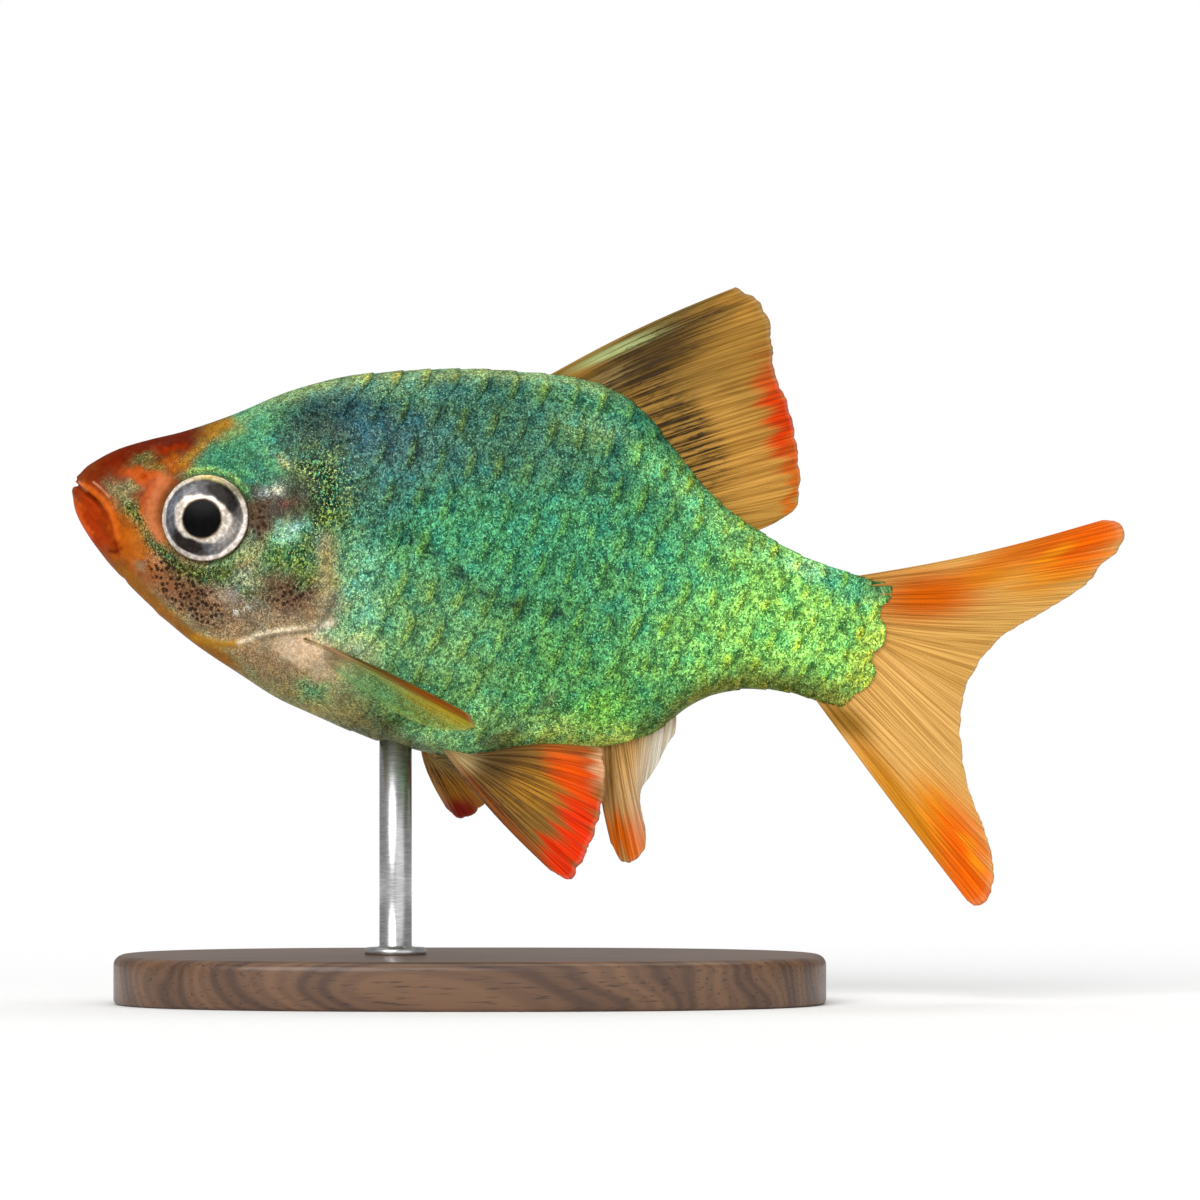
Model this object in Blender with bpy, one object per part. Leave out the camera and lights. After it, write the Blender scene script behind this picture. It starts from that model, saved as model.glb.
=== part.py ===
"""A tiger barb of the green form, life size, on a display stand.

The fish is drawn level in its own frame, in millimetres: x runs back from the snout, z up from the
axis of the body, and its left side is at negative y. An empty then sets it on the stand, head up.
"""

import math

import bmesh
import bpy
import numpy as np

# Overall sizes, in millimetres and degrees
MM = 0.001
GAP = 0.3
PITCH = 10.5
SNOUT_X = -32.5
SNOUT_Z = 31.4
STANDARD_LENGTH = 51.1

# Body sections: distance from the snout, back, belly, half width and height of the widest point
SECTIONS = (
    (0.0, 0.15, 0.15, 0.0, 0.15),
    (0.25, 1.5, -0.85, 0.85, 0.1),
    (1.0, 2.4, -1.95, 1.45, 0.0),
    (2.25, 3.35, -3.2, 2.0, -0.1),
    (4.0, 4.25, -4.6, 2.6, -0.2),
    (6.0, 5.15, -5.95, 3.2, -0.2),
    (9.0, 6.85, -7.7, 3.9, -0.4),
    (12.0, 8.8, -9.0, 4.4, -0.8),
    (15.0, 10.2, -10.2, 4.8, -1.0),
    (18.0, 11.15, -10.95, 5.0, -1.1),
    (22.0, 12.1, -11.6, 5.05, -1.0),
    (26.0, 12.65, -11.6, 4.9, -0.8),
    (30.0, 12.85, -10.75, 4.45, -0.5),
    (32.0, 12.45, -10.2, 4.15, -0.4),
    (34.0, 11.4, -9.65, 3.75, -0.3),
    (36.0, 9.65, -9.0, 3.3, -0.3),
    (38.0, 7.9, -7.9, 2.8, -0.2),
    (40.0, 6.55, -5.75, 2.4, -0.2),
    (42.0, 5.65, -4.6, 2.05, -0.1),
    (45.0, 4.6, -4.0, 1.65, 0.0),
    (48.0, 4.1, -4.2, 1.35, -0.1),
    (STANDARD_LENGTH, 3.9, -4.5, 1.1, -0.2),
)
BACK_POWER = 1.8
BELLY_POWER = 2.0
END_BULGE = 0.035
END_BULGE_FROM = 46.0
END_MIDDLE_Z = -0.5

# Head: places as (x, z) seen from the side
EYE_X, EYE_Z = 8.2, 0.1
EYE_RADIUS = 2.69
EYE_FRONT, EYE_BACK = 0.75, 1.5
ORBIT_RIM = 0.16
MOUTH_LINE = ((-0.6, 0.8), (0.2, 0.6), (1.0, 0.2), (1.7, -0.2), (2.5, -1.1), (3.1, -2.3), (3.4, -3.1))
JAW_BACK = ((3.7, -3.8), (4.0, -4.5), (3.9, -6.0))
LIP_RELIEF = 0.16
LIP_WIDTH = 0.35
NOSTRIL_X, NOSTRIL_Z = 4.3, 2.0
NOSTRIL_RADIUS = 0.36
CHEEK_RIDGE = ((10.6, 2.4), (11.0, 0.5), (11.0, -2.5), (10.4, -4.8), (9.0, -6.2), (6.8, -6.0))
RIDGE_RELIEF = 0.12
GILL_OUTLINE = (
    (12.0, 3.3), (13.2, 4.25), (14.8, 4.2), (15.9, 3.2), (16.8, 0.9), (17.15, -1.3), (17.1, -3.7),
    (16.3, -5.2), (14.3, -6.0), (12.3, -6.5), (11.2, -6.2), (11.5, -4.8), (11.9, -2.5), (12.0, 0.5),
)
GILL_THICKNESS = 0.55
GILL_RAISED = 0.16
GILL_BULGE = 0.12

# Cuts that part the body, as (x, z) paths seen from the side
NAPE_CUT = (
    (12.2, 11.0), (13.0, 8.0), (14.5, 5.2), (15.2, 3.0), (15.2, -2.0), (14.3, -5.5), (13.2, -7.8),
    (12.8, -12.0),
)
STALK_CUT = ((43.3, 8.0), (42.6, 3.0), (41.9, -1.0), (41.3, -7.0))
CUT_HALF_WIDTH = 9.0
EYE_CUT_FRONT = 3.0
GILL_CUT_OUT = 1.5

# Fins: outlines as (x, z) seen from the side, and how many rays show
DORSAL_FROM, DORSAL_TO = 28.4, 42.3
DORSAL_MARGIN = (
    (37.9, 20.1), (39.3, 19.65), (40.25, 18.6), (40.8, 17.0), (41.3, 15.3), (42.3, 13.8), (43.1, 12.1),
    (43.7, 10.3), (44.1, 8.5), (44.0, 7.2), (43.2, 6.5),
)
DORSAL_RAYS = 11
DORSAL_BOWS = (0.25, -0.1)
ANAL_FROM, ANAL_TO = 34.85, 40.1
ANAL_MARGIN = (
    (36.55, -15.1), (37.6, -16.2), (38.6, -15.5), (38.6, -14.2), (38.0, -13.0), (37.8, -11.6), (38.4, -10.2),
    (38.8, -8.8), (39.3, -7.7), (40.3, -6.5),
)
ANAL_RAYS = 7
ANAL_BOWS = (-0.25, 0.1)
TAIL_FORK = (56.4, -2.4)
TAIL_UPPER_ROOT = ((49.4, 4.35), (50.2, 4.1), (50.8, 3.2), (51.4, 1.4), (51.5, -0.3))
TAIL_UPPER_MARGIN = (
    (62.9, 10.1), (64.0, 10.1), (64.4, 9.3), (64.2, 8.4), (63.4, 7.5), (62.9, 6.4), (61.4, 4.8), (59.8, 3.4),
    (58.2, 2.0), (57.2, 0.5), (56.5, -1.5), TAIL_FORK,
)
TAIL_LOWER_ROOT = ((47.9, -4.55), (49.2, -4.75), (50.4, -4.6), (51.1, -3.6), (51.4, -2.0), (51.5, -0.3))
TAIL_LOWER_MARGIN = (
    (58.9, -14.6), (59.6, -14.9), (60.2, -14.2), (60.3, -13.0), (59.6, -10.9), (59.0, -9.8), (58.2, -8.6),
    (57.6, -7.5), (56.9, -5.5), (56.5, -3.7), TAIL_FORK,
)
TAIL_RAYS = 9
TAIL_UPPER_BOWS = (-0.35, 0.0)
TAIL_LOWER_BOWS = (-0.05, 0.0)
TAIL_SWEEP = 0.9
DORSAL_SWEEP = 0.5
PELVIC_RAYS = 8
PELVIC_BOWS = (-0.3, 0.0)
PELVIC_LEFT_MARGIN = (
    (33.2, -17.3), (34.4, -17.7), (35.15, -16.1), (35.55, -13.8), (35.6, -11.8), (34.95, -9.7),
)
PELVIC_RIGHT_MARGIN = (
    (26.1, -15.0), (27.3, -15.5), (28.2, -14.5), (29.4, -13.3), (30.5, -12.4), (31.2, -11.7),
)
PELVIC_LEFT_ROOT = (26.0, 27.7)
PELVIC_RIGHT_ROOT = (24.2, 25.9)
PELVIC_ROOT_Y = 1.3
PELVIC_ROOT_GAP = 0.55
PELVIC_LEFT_SPLAY = 2.9
PELVIC_RIGHT_SPLAY = 6.6
PECTORAL_RAYS = 8
PECTORAL_BOWS = (0.2, -0.2)
PECTORAL_ROOT = ((16.9, -6.0), (17.2, -7.5))
PECTORAL_MARGIN = ((26.4, -8.5), (27.2, -9.05), (26.2, -9.9), (24.4, -10.3), (22.2, -10.1), (20.4, -9.5))
PECTORAL_LEFT_FLARE = 1.6
PECTORAL_RIGHT_FLARE = 3.2
PECTORAL_ROOT_GAP = 0.75
RAY_HALF, MEMBRANE_HALF = 0.45, 0.25
TIP_SHARE = 0.6
WEB_NOTCH = 0.15
MEDIAN_ROOT_GAP = 0.35

# Stand: a flat oval base and one rod under the belly
BASE_LENGTH, BASE_WIDTH, BASE_HEIGHT = 44.0, 26.0, 3.0
BASE_X = -8.0
BASE_EDGE = 0.6
BASE_POWER = 2.5
ROD_X = -12.6
ROD_RADIUS = 1.0
ROD_SUNK = 1.6

# How finely the shapes are faceted
HEAD_RINGS, TRUNK_RINGS = 30, 24
HEAD_END = 18.0
RING_SIDES = 40
FIN_ROWS = 8
EYE_SIDES, ROUND_SIDES = 24, 16


def clear_scene():
    for obj in list(bpy.data.objects):
        bpy.data.objects.remove(obj)


def hermite(knots, values, at):
    """Smooth curve through the values: a cubic between knots, with parabolic slopes at them."""
    knots, values = np.asarray(knots, float), np.asarray(values, float)
    step = np.diff(knots)
    chord = np.diff(values, axis=0) / (step if values.ndim == 1 else step[:, None])
    before, after = (step[:-1], step[1:]) if values.ndim == 1 else (step[:-1, None], step[1:, None])
    inner = (chord[:-1] * after + chord[1:] * before) / (before + after)
    slope = np.concatenate([chord[:1], inner, chord[-1:]])
    at = np.clip(at, knots[0], knots[-1])
    i = np.clip(np.searchsorted(knots, at, side="right") - 1, 0, len(step) - 1)
    wide = step[i] if values.ndim == 1 else step[i][..., None]
    t = (at - knots[i]) / step[i]
    t = t if values.ndim == 1 else t[..., None]
    return (
        values[i] * (1 + 2 * t) * (1 - t) ** 2
        + values[i + 1] * t**2 * (3 - 2 * t)
        + wide * (slope[i] * t * (1 - t) ** 2 - slope[i + 1] * t**2 * (1 - t))
    )


def along(points, at):
    """Points at shares of the length of the smooth curve through the given points."""
    points = np.asarray(points, float)
    length = np.concatenate([[0], np.cumsum(np.linalg.norm(np.diff(points, axis=0), axis=1))])
    return hermite(length / length[-1], points, np.asarray(at, float))


def section(x):
    """Back, belly, half width and widest height at x. The root of x makes the snout blunt."""
    table = np.array(SECTIONS)
    return hermite(np.sqrt(table[:, 0]), table[:, 1:], np.sqrt(np.maximum(x, 0))).T


def half_width(x, z):
    """How far the plain side of the body stands from the middle plane."""
    back, belly, width, middle = section(np.asarray(x, float))
    above = np.asarray(z) > middle
    power = np.where(above, BACK_POWER, BELLY_POWER)
    reach = np.where(above, back - middle, middle - belly)
    share = np.clip(np.abs(z - middle) / np.maximum(reach, 1e-6), 0, 1)
    return width * (1 - share**power) ** (1 / power)


def side_normal(x, z, side):
    """Outward normal of the plain side of the body at (x, z), side -1 left and 1 right."""
    step = 0.05
    dx = (half_width(x + step, z) - half_width(x - step, z)) / (2 * step)
    dz = (half_width(x, z + step) - half_width(x, z - step)) / (2 * step)
    normal = np.array([-dx, side, -dz])
    return normal / np.linalg.norm(normal)


def distance_to(path, x, z):
    """Distance of each (x, z) from a smooth path seen from the side."""
    line = along(path, np.linspace(0, 1, 40))
    return np.sqrt(((x[..., None] - line[:, 0]) ** 2 + (z[..., None] - line[:, 1]) ** 2).min(-1))


def relief(x, z):
    """How far the lips, the rim of the eye and the ridge of the cheek stand out of the plain body."""
    lips = LIP_RELIEF * np.exp(-(((distance_to(MOUTH_LINE, x, z) - LIP_WIDTH) / LIP_WIDTH) ** 2))
    from_eye = np.hypot(x - EYE_X, z - EYE_Z)
    rim = ORBIT_RIM * np.exp(-(((from_eye - EYE_RADIUS - 0.45) / 0.4) ** 2))
    ridge = RIDGE_RELIEF * np.exp(-((distance_to(CHEEK_RIDGE, x, z) / 0.45) ** 2))
    return lips + rim + ridge


def body_rings():
    """Points of the whole body, ring by ring: down the left side and up the right one."""
    head = HEAD_END * np.linspace(0.06, 1, HEAD_RINGS) ** 1.6
    trunk = np.linspace(HEAD_END, STANDARD_LENGTH, TRUNK_RINGS + 1)[1:]
    x = np.concatenate([head, trunk])[:, None]
    turn = np.linspace(0, 2 * math.pi, RING_SIDES, endpoint=False)[None, :]
    up, out = np.cos(turn), -np.sin(turn)
    back, belly, width, middle = (v[:, None] for v in section(x[:, 0]))
    power = np.where(up > 0, BACK_POWER, BELLY_POWER)
    reach = np.where(up > 0, back - middle, middle - belly)
    z = middle + reach * np.sign(up) * np.abs(up) ** (2 / power)
    y = width * np.sign(out) * np.abs(out) ** (2 / power)
    points = np.stack(np.broadcast_arrays(x, y, z), -1)
    normal = np.cross(np.gradient(points, axis=0), np.roll(points, -1, 1) - np.roll(points, 1, 1))
    normal /= np.linalg.norm(normal, axis=-1, keepdims=True)
    normal *= np.sign((normal * np.stack([0 * y, y, z - middle], -1)).sum(-1, keepdims=True))
    points += normal * relief(points[..., 0], points[..., 2])[..., None]
    share = np.clip((x - END_BULGE_FROM) / (STANDARD_LENGTH - END_BULGE_FROM), 0, 1)
    points[..., 0] -= END_BULGE * share * (points[..., 2] - END_MIDDLE_Z) ** 2
    return points


def new_object(name, points, faces, material, parent=None):
    """A named object from points in millimetres, with its faces turned outwards."""
    mesh = bpy.data.meshes.new(name)
    mesh.from_pydata((np.asarray(points) * MM).tolist(), [], [list(map(int, f)) for f in faces])
    shape = bmesh.new()
    shape.from_mesh(mesh)
    bmesh.ops.recalc_face_normals(shape, faces=shape.faces)
    if shape.calc_volume(signed=True) < 0:
        bmesh.ops.reverse_faces(shape, faces=shape.faces)
    shape.to_mesh(mesh)
    shape.free()
    obj = bpy.data.objects.new(name, mesh)
    bpy.context.scene.collection.objects.link(obj)
    if material:
        mesh.materials.append(material)
        mesh.shade_smooth()
        mesh.set_sharp_from_angle(angle=math.radians(40))
    obj.parent = parent
    return obj


def finish_material(name, colour, roughness, metallic=0.0):
    material = bpy.data.materials.new(name)
    material.use_nodes = True
    shader = material.node_tree.nodes["Principled BSDF"]
    shader.inputs["Base Color"].default_value = (*colour, 1)
    shader.inputs["Roughness"].default_value = roughness
    shader.inputs["Metallic"].default_value = metallic
    return material


def carve(target, cutters):
    """Cuts each cutter from the target and removes the cutters."""
    for cutter in cutters:
        cut = target.modifiers.new(cutter.name, "BOOLEAN")
        cut.operation = "DIFFERENCE"
        cut.solver = "EXACT"
        cut.object = cutter
        cutter.hide_render = True
        cutter.display_type = "WIRE"
    bpy.context.view_layer.update()
    graph = bpy.context.evaluated_depsgraph_get()
    mesh = bpy.data.meshes.new_from_object(target.evaluated_get(graph))
    target.modifiers.clear()
    target.data = mesh
    for cutter in cutters:
        bpy.data.objects.remove(cutter)


def split(obj, names, materials, parent):
    """Parts a cut mesh into its closed pieces, front to back, and names the largest ones."""
    shape = bmesh.new()
    shape.from_mesh(obj.data)
    shape.verts.ensure_lookup_table()
    piece_of, pieces = {}, []
    for start in shape.verts:
        if start.index in piece_of:
            continue
        piece, todo = [], [start]
        piece_of[start.index] = len(pieces)
        while todo:
            vert = todo.pop()
            piece.append(vert.index)
            for edge in vert.link_edges:
                other = edge.other_vert(vert)
                if other.index not in piece_of:
                    piece_of[other.index] = len(pieces)
                    todo.append(other)
        pieces.append(piece)
    largest = sorted(range(len(pieces)), key=lambda k: -len(pieces[k]))[: len(names)]
    points = np.array([v.co for v in shape.verts]) / MM
    largest.sort(key=lambda k: points[pieces[k], 0].mean())
    for name, material, k in zip(names, materials, largest):
        place = {v: i for i, v in enumerate(pieces[k])}
        faces = [[place[v.index] for v in f.verts] for f in shape.faces if piece_of[f.verts[0].index] == k]
        new_object(name, points[pieces[k]], faces, material, parent)
    shape.free()
    bpy.data.objects.remove(obj)


def make_body(parent):
    """The whole body as one closed loft: a point at the snout, rings, and a narrow wall at the tail."""
    rings = body_rings()
    count, sides = rings.shape[:2]
    snout = [[0.0, 0.0, SECTIONS[0][1]]]
    points = np.concatenate([snout, rings.reshape(-1, 3)])
    at = 1 + np.arange(count * sides).reshape(count, sides)
    after = np.roll(at, -1, axis=1)
    faces = [(0, at[0, j], after[0, j]) for j in range(sides)]
    for i in range(count - 1):
        faces += [(at[i, j], at[i + 1, j], after[i + 1, j], after[i, j]) for j in range(sides)]
    last, half = at[-1], sides // 2
    faces += [(last[0], last[-1], last[1])]
    faces += [(last[j], last[-j], last[-j - 1], last[j + 1]) for j in range(1, half - 1)]
    faces += [(last[half - 1], last[half + 1], last[half])]
    return new_object("body", points, faces, None, parent)


def path_slab(name, path, parent):
    """A cutter as thick as the gap that follows a path seen from the side, through the whole body."""
    line = along(path, np.linspace(0, 1, 3 * len(path)))
    way = np.gradient(line, axis=0)
    way /= np.linalg.norm(way, axis=1, keepdims=True)
    aside = np.stack([-way[:, 1], way[:, 0]], 1) * GAP / 2
    outline = np.concatenate([line + aside, (line - aside)[::-1]])
    return prism(name, outline, -CUT_HALF_WIDTH, CUT_HALF_WIDTH, parent)


def prism(name, outline, low, high, parent):
    """A closed outline, seen from the side, carried through from y low to y high."""
    count = len(outline)
    near = np.insert(outline, 1, low, axis=1)
    far = np.insert(outline, 1, high, axis=1)
    faces = [list(range(count)), list(range(count, 2 * count))]
    faces += [(i, (i + 1) % count, count + (i + 1) % count, count + i) for i in range(count)]
    return new_object(name, np.concatenate([near, far]), faces, None, parent)


def turned(name, profile, centre, axis, sides, material, parent):
    """A solid of revolution about an axis; the profile runs from the axis out and back to it."""
    axis = np.asarray(axis, float) / np.linalg.norm(axis)
    across = np.cross(axis, [0, 0, 1] if abs(axis[2]) < 0.9 else [1, 0, 0])
    across /= np.linalg.norm(across)
    other = np.cross(axis, across)
    points, faces = [centre + profile[0][1] * axis], []
    for radius, height in profile[1:-1]:
        for k in range(sides):
            turn = 2 * math.pi * k / sides
            aim = math.cos(turn) * across + math.sin(turn) * other
            points.append(centre + radius * aim + height * axis)
    points.append(centre + profile[-1][1] * axis)
    rings = len(profile) - 2
    for k in range(sides):
        nxt = (k + 1) % sides
        faces.append((0, 1 + k, 1 + nxt))
        for r in range(rings - 1):
            low, high = 1 + r * sides, 1 + (r + 1) * sides
            faces.append((low + k, high + k, high + nxt, low + nxt))
        end = 1 + (rings - 1) * sides
        faces.append((end + k, len(points) - 1, end + nxt))
    return new_object(name, points, faces, material, parent)


def eye_profile(grow, front):
    """Two half ellipses that meet at the eye's rim, the front one standing out of the head."""
    radius, back = EYE_RADIUS + grow, EYE_BACK + grow
    turns = np.radians(np.linspace(-90, 90, 11))
    height = np.where(turns < 0, back, front) * np.sin(turns)
    return list(zip(radius * np.cos(turns), height))


def pit_profile(radius):
    """A small round hollow, as deep as it is wide."""
    turns = np.radians(np.linspace(-90, 90, 7))
    return list(zip(radius * np.cos(turns), radius * np.sin(turns)))


def eye_place(side):
    """Centre and outward direction of an eye, on the surface of the head."""
    centre = np.array([EYE_X, side * float(half_width(EYE_X, EYE_Z)), EYE_Z])
    return centre, side_normal(EYE_X, EYE_Z, side)


def gill_plate(name, side, inner, outer, bulge, grow, material, parent):
    """A plate that lies along the side of the head inside the gill outline, from inner to outer of it."""
    rings, spokes = 5, 36
    closed = GILL_OUTLINE + GILL_OUTLINE[:1]
    rim = along(closed, np.linspace(0, 1, spokes, endpoint=False))
    centre = rim.mean(0)
    way = np.roll(rim, -1, 0) - np.roll(rim, 1, 0)
    way /= np.linalg.norm(way, axis=1, keepdims=True)
    outward = np.stack([way[:, 1], -way[:, 0]], 1)
    outward *= np.sign(((rim - centre) * outward).sum(1, keepdims=True))
    rim = rim + outward * grow
    near, far = [], []
    for r in range(rings + 1):
        share = r / rings
        for p in rim if r else rim[:1]:
            x, z = centre + (p - centre) * share
            y = float(half_width(x, z))
            near.append((x, side * (y + outer + bulge * (1 - share**2)), z))
            far.append((x, side * (y + inner), z))
    count = len(near)
    faces = []
    for k in range(spokes):
        nxt = (k + 1) % spokes
        first = [(0, 1 + k, 1 + nxt)]
        for r in range(rings - 1):
            low, high = 1 + r * spokes, 1 + (r + 1) * spokes
            first += [(low + k, high + k, high + nxt), (low + k, high + nxt, low + nxt)]
        faces += first + [tuple(v + count for v in reversed(f)) for f in first]
        end = 1 + (rings - 1) * spokes
        faces.append((end + k, end + nxt, count + end + nxt, count + end + k))
    return new_object(name, near + far, faces, material, parent)


def fin_grid(root, margin, rays, bows):
    """Points of a fin's middle surface: a row from root to margin, a column for each ray and each web.

    The bows are how far the first and the last ray bend out of a straight line.
    """
    columns = 2 * rays - 1
    share = np.linspace(0, 1, columns)
    start, end = along(root, share), along(margin, share)
    ray = end - start
    length = np.linalg.norm(ray, axis=1, keepdims=True)
    on_ray = (np.arange(columns) % 2 == 0)[:, None]
    end = end + ray / length * np.where(on_ray, 0.0, -WEB_NOTCH)
    out = np.linspace(0, 1, FIN_ROWS)[:, None, None]
    grid = start + (end - start) * out
    aside = np.stack([-ray[:, 2], 0 * ray[:, 0], ray[:, 0]], 1) / length
    bow = np.interp(share, (0, 1), bows)[:, None]
    return grid + aside * bow * np.sin(math.pi * out)


def fin_solid(name, grid, material, parent):
    """Thickens a fin's middle surface into a closed sheet with its rays raised on both faces.

    Both faces are split along the same diagonals, so they never cross.
    """
    rows, columns = grid.shape[:2]
    down, across = np.gradient(grid, axis=0), np.gradient(grid, axis=1)
    normal = np.cross(down, across)
    normal /= np.linalg.norm(normal, axis=-1, keepdims=True)
    out = np.linspace(0, 1, rows)[:, None]
    on_ray = (np.arange(columns) % 2 == 0)[None, :]
    half = np.where(on_ray, RAY_HALF, MEMBRANE_HALF) * (1 - (1 - TIP_SHARE) * out**3)
    offset = normal * half[..., None]
    count = rows * columns
    at = np.arange(count).reshape(rows, columns)
    a, b, c, d = at[:-1, :-1], at[:-1, 1:], at[1:, 1:], at[1:, :-1]
    tris = np.concatenate([np.stack([a, b, c], -1).reshape(-1, 3), np.stack([a, c, d], -1).reshape(-1, 3)])
    rim = [*at[0, :-1], *at[:-1, -1], *at[-1, :0:-1], *at[:0:-1, 0]]
    faces = [*tris, *(tris[:, ::-1] + count)]
    for p, q in zip(rim, rim[1:] + rim[:1]):
        faces += [(q, p, p + count), (q, p + count, q + count)]
    points = np.concatenate([(grid + offset).reshape(-1, 3), (grid - offset).reshape(-1, 3)])
    return new_object(name, points, faces, material, parent)


def in_plane(points, y=0.0):
    """(x, z) points seen from the side, set at a distance y from the middle plane."""
    return [(x, y, z) for x, z in points]


def profile_root(start, end, edge):
    """Root line of a median fin, one gap outside the back (edge 0) or the belly (edge 1)."""
    x = np.linspace(start, end, 8)
    z = section(x)[edge] + MEDIAN_ROOT_GAP * (1 if edge == 0 else -1)
    return in_plane(list(zip(x, z)))


def make_median_fins(material, parent):
    """Dorsal, anal and tail fins, which stand in the middle plane; the tail sweeps a little aside."""
    root = profile_root(DORSAL_FROM, DORSAL_TO, 0)
    dorsal = fin_grid(root, in_plane(DORSAL_MARGIN), DORSAL_RAYS, DORSAL_BOWS)
    dorsal[..., 1] += DORSAL_SWEEP * np.linspace(0, 1, FIN_ROWS)[:, None] ** 2
    fin_solid("dorsal_fin", dorsal, material, parent)
    anal = fin_grid(profile_root(ANAL_FROM, ANAL_TO, 1), in_plane(ANAL_MARGIN), ANAL_RAYS, ANAL_BOWS)
    fin_solid("anal_fin", anal, material, parent)
    for name, root, margin, bows, split_side in (
        ("tail_fin_upper", TAIL_UPPER_ROOT, TAIL_UPPER_MARGIN, TAIL_UPPER_BOWS, 1),
        ("tail_fin_lower", TAIL_LOWER_ROOT, TAIL_LOWER_MARGIN, TAIL_LOWER_BOWS, -1),
    ):
        lobe = fin_grid(in_plane(root), in_plane(margin), TAIL_RAYS, bows)
        nearness = np.linspace(0, 1, lobe.shape[1])[None, :] ** 6
        lobe[..., 2] += split_side * GAP / 2 * nearness
        lobe[..., 1] += TAIL_SWEEP * np.linspace(0, 1, FIN_ROWS)[:, None] ** 2
        fin_solid(name, lobe, material, parent)


def under_side(x, y):
    """Height of the plain body's underside at x, a distance y from the middle plane."""
    _, belly, width, middle = section(x)
    return middle - (middle - belly) * (1 - (np.abs(y) / width) ** BELLY_POWER) ** (1 / BELLY_POWER)


def pelvic_grid(side, root, margin, splay):
    """A pelvic fin: its root close under the belly, its margin spread out from the middle plane."""
    x = np.linspace(*root, 4)
    below = under_side(x, PELVIC_ROOT_Y) - PELVIC_ROOT_GAP
    start = [(at, side * PELVIC_ROOT_Y, z) for at, z in zip(x, below)]
    spread = along(margin, np.linspace(0, 1, 8))
    end = [(x, side * (PELVIC_ROOT_Y + splay), z) for x, z in spread]
    return fin_grid(start, end, PELVIC_RAYS, PELVIC_BOWS)


def pectoral_grid(side, flare):
    """A pectoral fin: its root behind the gill cover, its blade held a little off the flank."""
    start = []
    for x, z in along(PECTORAL_ROOT, np.linspace(0, 1, 4)):
        start.append((x, side * (float(half_width(x, z)) + PECTORAL_ROOT_GAP), z))
    edge_y = float(half_width(*PECTORAL_ROOT[0]))
    spread = along(PECTORAL_MARGIN, np.linspace(0, 1, 8))
    end = [(x, side * (edge_y + flare), z) for x, z in spread]
    return fin_grid(start, end, PECTORAL_RAYS, PECTORAL_BOWS)


def make_paired_fins(material, parent):
    """Pelvic and pectoral fins, each of its own spread."""
    grids = {
        "pelvic_fin_left": pelvic_grid(-1, PELVIC_LEFT_ROOT, PELVIC_LEFT_MARGIN, PELVIC_LEFT_SPLAY),
        "pelvic_fin_right": pelvic_grid(1, PELVIC_RIGHT_ROOT, PELVIC_RIGHT_MARGIN, PELVIC_RIGHT_SPLAY),
        "pectoral_fin_left": pectoral_grid(-1, PECTORAL_LEFT_FLARE),
        "pectoral_fin_right": pectoral_grid(1, PECTORAL_RIGHT_FLARE),
    }
    for name, grid in grids.items():
        fin_solid(name, grid, material, parent)


def belly_height(x, y):
    """Height over the floor of the underside of the body, above a point of the stand."""
    turn = math.radians(PITCH)
    low, high = 0.0, SNOUT_Z
    for _ in range(40):
        middle = (low + high) / 2
        dx, dz = x - SNOUT_X, middle - SNOUT_Z
        inside_x = dx * math.cos(turn) - dz * math.sin(turn)
        inside_z = dx * math.sin(turn) + dz * math.cos(turn)
        belly = section(np.array([inside_x]))[1][0]
        inside = inside_z > belly and abs(y) < float(half_width(inside_x, inside_z))
        low, high = (low, middle) if inside else (middle, high)
    return (low + high) / 2


def make_stand(wood, steel):
    """An oval base with a blind hole, and a rod whose top follows the belly one gap below it."""
    sides = 56
    outline = []
    for k in range(sides):
        turn = 2 * math.pi * k / sides
        c, s = math.cos(turn), math.sin(turn)
        outline.append([math.copysign(abs(v) ** (2 / BASE_POWER), v) for v in (c, s)])
    points, faces = [], []
    for inset, height in ((0, 0), (0, BASE_HEIGHT - BASE_EDGE), (BASE_EDGE, BASE_HEIGHT)):
        for c, s in outline:
            points.append((BASE_X + c * (BASE_LENGTH / 2 - inset), s * (BASE_WIDTH / 2 - inset), height))
    faces = [list(range(sides)), list(range(2 * sides, 3 * sides))]
    for k in range(sides):
        nxt = (k + 1) % sides
        faces += [(ring + k, ring + nxt, ring + sides + nxt, ring + sides + k) for ring in (0, sides)]
    base = new_object("stand_base", points, faces, wood)
    hole_radius, hole_floor = ROD_RADIUS + GAP, BASE_HEIGHT - ROD_SUNK - GAP
    hole = [(0, hole_floor), (hole_radius, hole_floor), (hole_radius, 2 * BASE_HEIGHT), (0, 2 * BASE_HEIGHT)]
    carve(base, [turned("rod_hole", hole, np.array([ROD_X, 0, 0.0]), (0, 0, 1), ROUND_SIDES, None, None)])

    rod_sides, low = ROUND_SIDES, BASE_HEIGHT - ROD_SUNK
    ring = [
        (ROD_X + ROD_RADIUS * math.cos(t), ROD_RADIUS * math.sin(t))
        for t in np.linspace(0, 2 * math.pi, rod_sides, endpoint=False)
    ]
    points = [(x, y, low) for x, y in ring]
    points += [(x, y, belly_height(x, y) - GAP) for x, y in ring]
    points += [(ROD_X, 0, low), (ROD_X, 0, belly_height(ROD_X, 0) - GAP)]
    faces = []
    for k in range(rod_sides):
        nxt = (k + 1) % rod_sides
        faces += [(k, nxt, rod_sides + nxt, rod_sides + k), (2 * rod_sides, nxt, k)]
        faces.append((2 * rod_sides + 1, rod_sides + k, rod_sides + nxt))
    new_object("stand_rod", points, faces, steel)


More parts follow.
